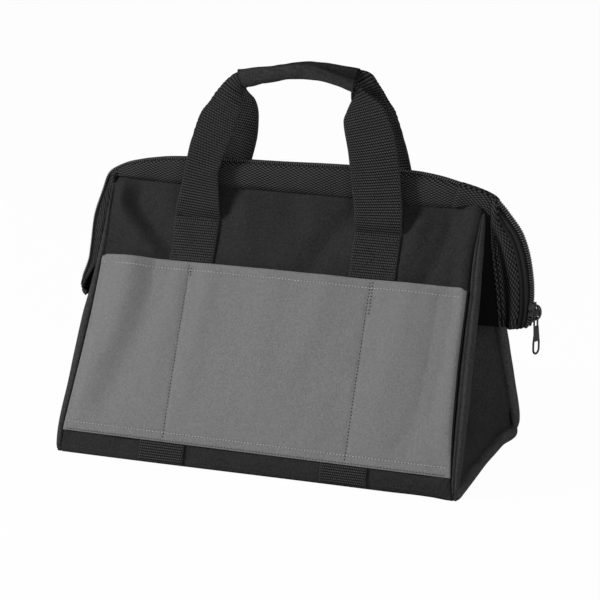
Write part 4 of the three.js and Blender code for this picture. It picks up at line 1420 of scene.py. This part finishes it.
def make_slider():
    """The zip slider: its plate with a raised middle, turned-in sides, and the bail over a block."""
    parts = [rounded_box(*plate) for plate in SLIDER_PLATES]
    for sign in (-1, 1):
        low, high = sorted((sign * 3.45, sign * 4.5))
        for foot, head in ((-2.8, 0.9), (2.2, 6.8)):
            parts.append(rounded_box((-2.6, low, foot), (1.0, high, head), 0.3, 0.93))
    bail = [(1.0, 0.0, -5.6)]
    for i in range(25):
        angle = mix(-math.pi / 2, math.pi / 2, i / 24)
        reach = math.cos(angle) ** 0.75 if abs(angle) < 1.57 else 0.0
        bail.append((1.6 + 4.5 * reach, 0.0, 5.5 * math.sin(angle)))
    bail.append((1.0, 0.0, 5.6))
    parts.append(swept_tube(frames_along(bail, (0, 1, 0)), round_section(12, 1.7, 0.75, 2.8)))
    parts += [rounded_box(*block) for block in SLIDER_BLOCKS]
    bm = join_meshes(parts)
    in_frame(bm, SLIDER_PLACE, SLIDER_OUT, SLIDER_UP)
    finish_piece("zip_slider_body", bm, "Coated metal", "zip_slider", ["zip_slider"])


def long_loop(half, top, bottom, bar, thick):
    """An upright ring with straight sides, of a flat bar."""
    points = []
    for start, middle in ((0, top - half), (math.pi, bottom + half)):
        for i in range(11):
            angle = mix(start, start + math.pi, i / 10)
            points.append((0.0, half * math.cos(angle), middle + half * math.sin(angle)))
    points.append(points[0])
    frames = []
    count = len(points) - 1
    for i in range(count + 1):
        before, after = Vector(points[(i - 1) % count]), Vector(points[(i + 1) % count])
        run = (after - before).normalized()
        across = Vector((1, 0, 0))
        frames.append((Vector(points[i % count]), across, run.cross(across)))
    return swept_tube(frames, round_section(10, thick, bar, 3.0), closed=True)


def make_pull():
    """The pull: an eye round the bail, a grooved neck and a long ring, the lower part set a little outward."""
    hang = SLIDER_PLACE + SLIDER_OUT * PULL_OUT
    neck = [rounded_box(*box) for box in PULL_NECK]
    bm = join_meshes([long_loop(*PULL_EYE), *neck, long_loop(*PULL_RING)])
    for vert in bm.verts:
        vert.co.x += 0.7 * smooth(9.0, 13.0, -vert.co.z)
    twist = Matrix.Rotation(PULL_TWIST, 4, "Z")
    bmesh.ops.transform(bm, matrix=Matrix.Translation(hang) @ twist, verts=bm.verts)
    finish_piece("zip_pull_tab", bm, "Coated metal", "zip_pull", ["zip_pull"])


# The stitching

# Lays the poles of a sphere along a stitch
POLE_ALONG = Matrix.Rotation(math.pi / 2, 4, "Y")


def stitch_row(bm, points, normals, length, gap, radius):
    """Short raised threads along a row of points."""
    spans = [0.0]
    for a, b in zip(points, points[1:]):
        spans.append(spans[-1] + (b - a).length)
    at = gap
    while at + length < spans[-1]:
        i = max(k for k in range(len(spans)) if spans[k] <= at)
        i = min(i, len(points) - 2)
        a, b = points[i], points[i + 1]
        run = (b - a).normalized()
        share = (at + length / 2 - spans[i]) / max(spans[i + 1] - spans[i], 1e-6)
        centre = a.lerp(b, min(max(share, 0), 1.2))
        normal = (normals[i] - run * run.dot(normals[i])).normalized()
        across = run.cross(normal)
        turn = Matrix((run * length / 2, across * radius, normal * radius * 0.8)).transposed().to_4x4()
        matrix = Matrix.Translation(centre + normal * radius * 0.35) @ turn
        bmesh.ops.create_uvsphere(bm, u_segments=6, v_segments=4, radius=1.0, matrix=matrix @ POLE_ALONG)
        at += length + gap


def row_on_slope(face, ends, out_at, steps=40):
    """Points and normals of a straight row on a side."""
    (x0, s0), (x1, s1) = ends
    points = []
    for i in range(steps + 1):
        x, s = mix(x0, x1, i / steps), mix(s0, s1, i / steps)
        points.append(on_slope(x, s, out_at(x, s), face))
    normal = on_slope(0, 0, 1, face) - on_slope(0, 0, 0, face)
    return points, [normal] * len(points)


def stitched(name, body, thread, rows, size):
    """One piece of all the stitches of some rows of (points, normals)."""
    parts = []
    for points, normals in rows:
        parts.append(bmesh.new())
        stitch_row(parts[-1], points, normals, *size)
    finish_piece(name, join_meshes(parts), thread, body)


def make_stitches(side, face):
    """The sewn rows of one side: the pocket's hem, foot and dividers, and the box stitches on the webbing."""
    body = f"{side}_side"
    length = bpy.context.scene.bag_sizes.stitch / MM
    gap = bpy.context.scene.bag_sizes.stitch_gap / MM

    def straight(ends, out_at):
        return row_on_slope(face, ends, out_at)

    def on_pocket(x, s):
        return pocket_out(side, x, s) + 0.3

    def on_leg(x, s):
        return leg_out(side, x, s) + 0.3

    def on_cloth(x, s):
        return panel_out(side, x, s) + 0.1

    def level(s):
        return straight(((2 - seam(side, -1, s), s), (seam(side, 1, s) - 2, s)), on_pocket)

    hems = [level(HEM_ROW), level(FOOT_ROWS[1])]
    stitched(f"{side}_pocket_stitches", body, "Grey thread", hems, (length, gap, 0.4))

    low, high = POCKET_FOOT + 2, POCKET_TOP - 1
    upright = [level(FOOT_ROWS[0])]
    upright += [straight(((x, low), (x, high)), on_pocket) for x in (-LEG_X, LEG_X)]
    upright.append(straight(((LEG_X + 2.7, high - 26), (LEG_X + 2.3, high)), on_pocket))
    upright.append(straight(((2.6 - LEG_X, high - 10), (2.4 - LEG_X, high)), on_pocket))
    stitched(f"{side}_divider_stitches", body, "Dark thread", upright, (length, gap, 0.36))

    boxes = []
    low, high = POCKET_TOP + 3, STITCH_HEIGHT - 3.5
    for turn in (-1, 1):
        x0, x1 = turn * LEG_X - 16, turn * LEG_X + 16
        for ends in (
            ((x0 - 1.5, high), (x1 + 1.5, high)),
            ((x0, low), (x0, high)),
            ((x1, low), (x1, high)),
            ((x0, low), (x1, high)),
            ((x0, high), (x1, low)),
            ((x0, low), (x1, low)),
        ):
            boxes.append(straight(ends, on_leg))
    stitched(f"{side}_box_stitches", body, "Black thread", boxes, (1.5, 1.6, 0.5))

    edge = [straight(((x, EDGE_ROW), (y, EDGE_ROW)), on_leg) for x, y in ((-93, -58), (58, 93))]
    for x, y in ((-154, -LEG_X - 20), (-LEG_X + 20, LEG_X - 20), (LEG_X + 20, 152)):
        edge.append(straight(((x, EDGE_ROW), (y, EDGE_ROW)), on_cloth))
    stitched(f"{side}_edge_stitches", body, "Dark thread", edge, (length, gap, 0.22))


# The stage

# The camera as fitted to the photograph, whose width is given in pixels; the angles are to the right and upward
FOCAL_PIXELS = 2479.213
PICTURE_PIXELS = 600
SENSOR_WIDTH = 36.0
AZIMUTH = math.radians(22.306)
ELEVATION = math.radians(14.408)
DISTANCE = 1.945556
SHIFT = (0.00983, 0.0040)
LOOK_AT = Vector((0, 0, 0.115))

# Lamps: name, place, size and share of the key light's power
LAMPS = (
    ("key", (-1.9, -1.35, 1.25), 0.8, 1.0),
    ("top", (0.1, 0.5, 2.2), 1.0, 0.1),
    ("side", (2.2, -0.4, 0.8), 1.2, 0.1),
    ("fill", (1.7, -1.9, 0.9), 1.2, 0.4),
)
LAMPS_AIM = Vector((0, 0, 0.12))

# The world's light, and the floor's level and the share of plain white that the camera sees in it
WORLD_STRENGTH = 0.06
FLOOR_LEVEL = -0.0002
FLOOR_WHITE = 0.975


def make_floor(scene):
    """A pale floor that takes shadows and looks as white as the background."""
    bm = bmesh.new()
    bmesh.ops.create_grid(bm, x_segments=1, y_segments=1, size=4.0)
    mesh = bpy.data.meshes.new("floor")
    bm.to_mesh(mesh)
    bm.free()
    floor = bpy.data.objects.new("floor", mesh)
    floor.location.z = FLOOR_LEVEL
    scene.collection.objects.link(floor)
    pale = Finish("Pale floor")
    rays = pale.node("ShaderNodeLightPath")
    seen = Value(pale, rays.socket.node.outputs["Is Camera Ray"])
    white = pale.node("ShaderNodeEmission", None, {"Color": (1, 1, 1, 1), "Strength": 1.0})
    pale.shader.inputs["Base Color"].default_value = (0.8, 0.8, 0.8, 1)
    pale.shader.inputs["Roughness"].default_value = 0.9
    lit = Value(pale, pale.shader.outputs[0])
    both = pale.node("ShaderNodeMixShader", None, {0: seen * FLOOR_WHITE, 1: lit, 2: white})
    output = pale.tree.nodes["Material Output"]
    pale.tree.links.new(both.socket, output.inputs["Surface"])
    mesh.materials.append(pale.material)


def make_light(scene):
    """A dim world that the camera sees as white, and the lamps."""
    world = bpy.data.worlds.new("Studio")
    scene.world = world
    world.use_nodes = True
    nodes, links = world.node_tree.nodes, world.node_tree.links
    dim = nodes["Background"]
    dim.inputs["Color"].default_value = (1, 1, 1, 1)
    dim.inputs["Strength"].default_value = WORLD_STRENGTH
    bright = nodes.new("ShaderNodeBackground")
    bright.inputs["Strength"].default_value = 1.0
    path = nodes.new("ShaderNodeLightPath")
    choose = nodes.new("ShaderNodeMixShader")
    links.new(path.outputs["Is Camera Ray"], choose.inputs[0])
    links.new(dim.outputs[0], choose.inputs[1])
    links.new(bright.outputs[0], choose.inputs[2])
    links.new(choose.outputs[0], nodes["World Output"].inputs["Surface"])

    for name, place, size, share in LAMPS:
        data = bpy.data.lights.new(name, "AREA")
        data.shape = "DISK"
        data.size = size
        data.energy = scene.bag_sizes.key_light * share
        light = bpy.data.objects.new(name, data)
        light.location = place
        light.rotation_euler = (LAMPS_AIM - Vector(place)).to_track_quat("-Z", "Y").to_euler()
        scene.collection.objects.link(light)


def make_camera(scene):
    """The camera at the photograph's angle."""
    data = bpy.data.cameras.new("camera")
    data.sensor_width = SENSOR_WIDTH
    data.lens = FOCAL_PIXELS * SENSOR_WIDTH / PICTURE_PIXELS
    data.shift_x, data.shift_y = SHIFT
    data.clip_end = 20
    camera = bpy.data.objects.new("camera", data)
    level = math.cos(ELEVATION)
    back = Vector((math.sin(AZIMUTH) * level, -math.cos(AZIMUTH) * level, math.sin(ELEVATION)))
    camera.location = LOOK_AT + back * DISTANCE
    camera.rotation_euler = back.to_track_quat("Z", "Y").to_euler()
    scene.collection.objects.link(camera)
    scene.camera = camera


# The add-on


class BagSizes(bpy.types.PropertyGroup):
    """Sizes of the bag's details."""

    weave: bpy.props.FloatProperty(
        name="Weave", description="Width of two threads of the cloth", default=0.0011, unit="LENGTH"
    )
    rib: bpy.props.FloatProperty(
        name="Webbing rib", description="From rib to rib along the webbing", default=0.00208, unit="LENGTH"
    )
    coil_pitch: bpy.props.FloatProperty(
        name="Coil pitch", description="From loop to loop along the zip", default=0.0019, unit="LENGTH"
    )
    stitch: bpy.props.FloatProperty(name="Stitch", description="Length of a stitch", default=0.0015, unit="LENGTH")
    stitch_gap: bpy.props.FloatProperty(
        name="Stitch gap", description="Between two stitches", default=0.0011, unit="LENGTH"
    )
    fold_depth: bpy.props.FloatProperty(
        name="Fold depth", description="Scale of the panels' soft folds", default=1.0, min=0, max=2
    )
    key_light: bpy.props.FloatProperty(
        name="Key light", description="Power of the lamp at the upper left", default=61.0, unit="POWER"
    )


def colour_property(name, description, level):
    """A colour with a grey default."""
    return bpy.props.FloatVectorProperty(
        name=name, description=description, default=level, size=3, subtype="COLOR", min=0, max=1
    )


class BagColours(bpy.types.PropertyGroup):
    """Colours of the bag's materials."""

    black_cloth: colour_property("Black cloth", "Main cloth and seams", (0.0165, 0.0165, 0.0169))
    grey_cloth: colour_property("Grey cloth", "Outside pockets", (0.165, 0.165, 0.167))
    # The lining's near-black is painted shade for the deep hollow inside the ears
    lining: colour_property("Lining", "Cloth inside the ears", (0.002, 0.002, 0.002))
    webbing: colour_property("Webbing", "Handles, legs and the mouth's band", (0.0105, 0.0105, 0.0108))
    zip_tape: colour_property("Zip tape", "Tape beside the coil", (0.013, 0.013, 0.013))
    zip_coil: colour_property("Zip coil", "Nylon of the coil", (0.095, 0.095, 0.095))
    metal: colour_property("Metal", "Slider and pull", (0.04, 0.04, 0.04))
    black_thread: colour_property("Black thread", "Stitches on the webbing", (0.006, 0.006, 0.006))
    dark_thread: colour_property("Dark thread", "Stitches up the pockets", (0.03, 0.03, 0.03))
    grey_thread: colour_property("Grey thread", "Stitches along the pockets", (0.38, 0.38, 0.38))
    board: colour_property("Board", "Board inside the base", (0.04, 0.04, 0.04))


class BagPanels(bpy.types.Operator):
    """Main cloth of the front and the back"""

    bl_idname = "toolbag.panels"
    bl_label = "Panels"

    def execute(self, context):
        for side, face in SIDES:
            make_panel(side, face)
        return {"FINISHED"}


class BagPockets(bpy.types.Operator):
    """Grey pockets of the front and the back"""

    bl_idname = "toolbag.pockets"
    bl_label = "Pockets"

    def execute(self, context):
        for side, face in SIDES:
            make_pocket(side, face)
        return {"FINISHED"}


class BagLegs(bpy.types.Operator):
    """Webbing sewn up the panels"""

    bl_idname = "toolbag.legs"
    bl_label = "Sewn webbing"

    def execute(self, context):
        for side, face in SIDES:
            for name, turn in ENDS.items():
                make_leg(side, face, name, turn)
        return {"FINISHED"}


class BagRolls(bpy.types.Operator):
    """Rolled seams of the sides and the base"""

    bl_idname = "toolbag.rolls"
    bl_label = "Rolled seams"

    def execute(self, context):
        for side, face in SIDES:
            for name, turn in ENDS.items():
                make_side_roll(side, face, name, turn)
        for name, turn in ENDS.items():
            make_base_roll(name, turn)
        return {"FINISHED"}


class BagBase(bpy.types.Operator):
    """Cloth and board of the base"""

    bl_idname = "toolbag.base"
    bl_label = "Base"

    def execute(self, context):
        make_base()
        return {"FINISHED"}


class BagGussets(bpy.types.Operator):
    """Tucked gussets at the two ends"""

    bl_idname = "toolbag.gussets"
    bl_label = "Gussets"

    def execute(self, context):
        for name, turn in ENDS.items():
            make_gusset(name, turn)
        return {"FINISHED"}


class BagMouth(bpy.types.Operator):
    """Band, tape and coil along the mouth"""

    bl_idname = "toolbag.mouth"
    bl_label = "Mouth"

    def execute(self, context):
        for side, face in SIDES:
            make_mouth_band(side, face)
            make_mouth_tape(side, face)
            make_mouth_coil(side, face)
        return {"FINISHED"}


class BagEars(bpy.types.Operator):
    """Ends of the zip that hang outside the gussets"""

    bl_idname = "toolbag.ears"
    bl_label = "Ears"

    def execute(self, context):
        for name in ENDS:
            for side, face in SIDES:
                make_ear(name, side, face)
                make_ear_lining(name, side, face)
        return {"FINISHED"}


class BagHandles(bpy.types.Operator):
    """Handle loops and their sleeves"""

    bl_idname = "toolbag.handles"
    bl_label = "Handles"

    def execute(self, context):
        make_handle("front", 1, FRONT_WEBBING)
        make_handle("back", -1, BACK_WEBBING)
        make_sleeve("front", 1, FRONT_SLEEVE, FRONT_CREASES)
        make_sleeve("back", -1, BACK_SLEEVE, BACK_CREASES)
        return {"FINISHED"}


class BagSlider(bpy.types.Operator):
    """Zip slider and pull"""

    bl_idname = "toolbag.slider"
    bl_label = "Slider"

    def execute(self, context):
        make_slider()
        make_pull()
        return {"FINISHED"}


class BagStitches(bpy.types.Operator):
    """Rows of stitches"""

    bl_idname = "toolbag.stitches"
    bl_label = "Stitches"

    def execute(self, context):
        for side, face in SIDES:
            make_stitches(side, face)
        return {"FINISHED"}


class BagStage(bpy.types.Operator):
    """Floor, light and camera"""

    bl_idname = "toolbag.stage"
    bl_label = "Stage"

    def execute(self, context):
        make_floor(context.scene)
        make_light(context.scene)
        make_camera(context.scene)
        context.scene.view_settings.view_transform = "Standard"
        return {"FINISHED"}


OPERATORS = (
    BagPanels,
    BagPockets,
    BagLegs,
    BagRolls,
    BagBase,
    BagGussets,
    BagMouth,
    BagEars,
    BagHandles,
    BagSlider,
    BagStitches,
    BagStage,
)


class BagPanel(bpy.types.Panel):
    """The bag's pieces, sizes and colours"""

    bl_idname = "VIEW3D_PT_toolbag"
    bl_label = "Tool bag"
    bl_space_type = "VIEW_3D"
    bl_region_type = "UI"
    bl_category = "Tool bag"

    def draw(self, context):
        for group in (context.scene.bag_sizes, context.scene.bag_colours):
            for key in group.__annotations__:
                self.layout.prop(group, key)
        for operator in OPERATORS:
            self.layout.operator(operator.bl_idname)


CLASSES = (BagSizes, BagColours, *OPERATORS, BagPanel)


def register():
    """Adds the classes and their properties."""
    for each in CLASSES:
        bpy.utils.register_class(each)
    bpy.types.Scene.bag_sizes = bpy.props.PointerProperty(type=BagSizes)
    bpy.types.Scene.bag_colours = bpy.props.PointerProperty(type=BagColours)


def unregister():
    """Takes them away again."""
    del bpy.types.Scene.bag_sizes
    del bpy.types.Scene.bag_colours
    for each in reversed(CLASSES):
        bpy.utils.unregister_class(each)


def main():
    """Builds every piece."""
    register()
    for operator in OPERATORS:
        group, name = operator.bl_idname.split(".")
        getattr(getattr(bpy.ops, group), name)()


if __name__ == "__main__":
    main()
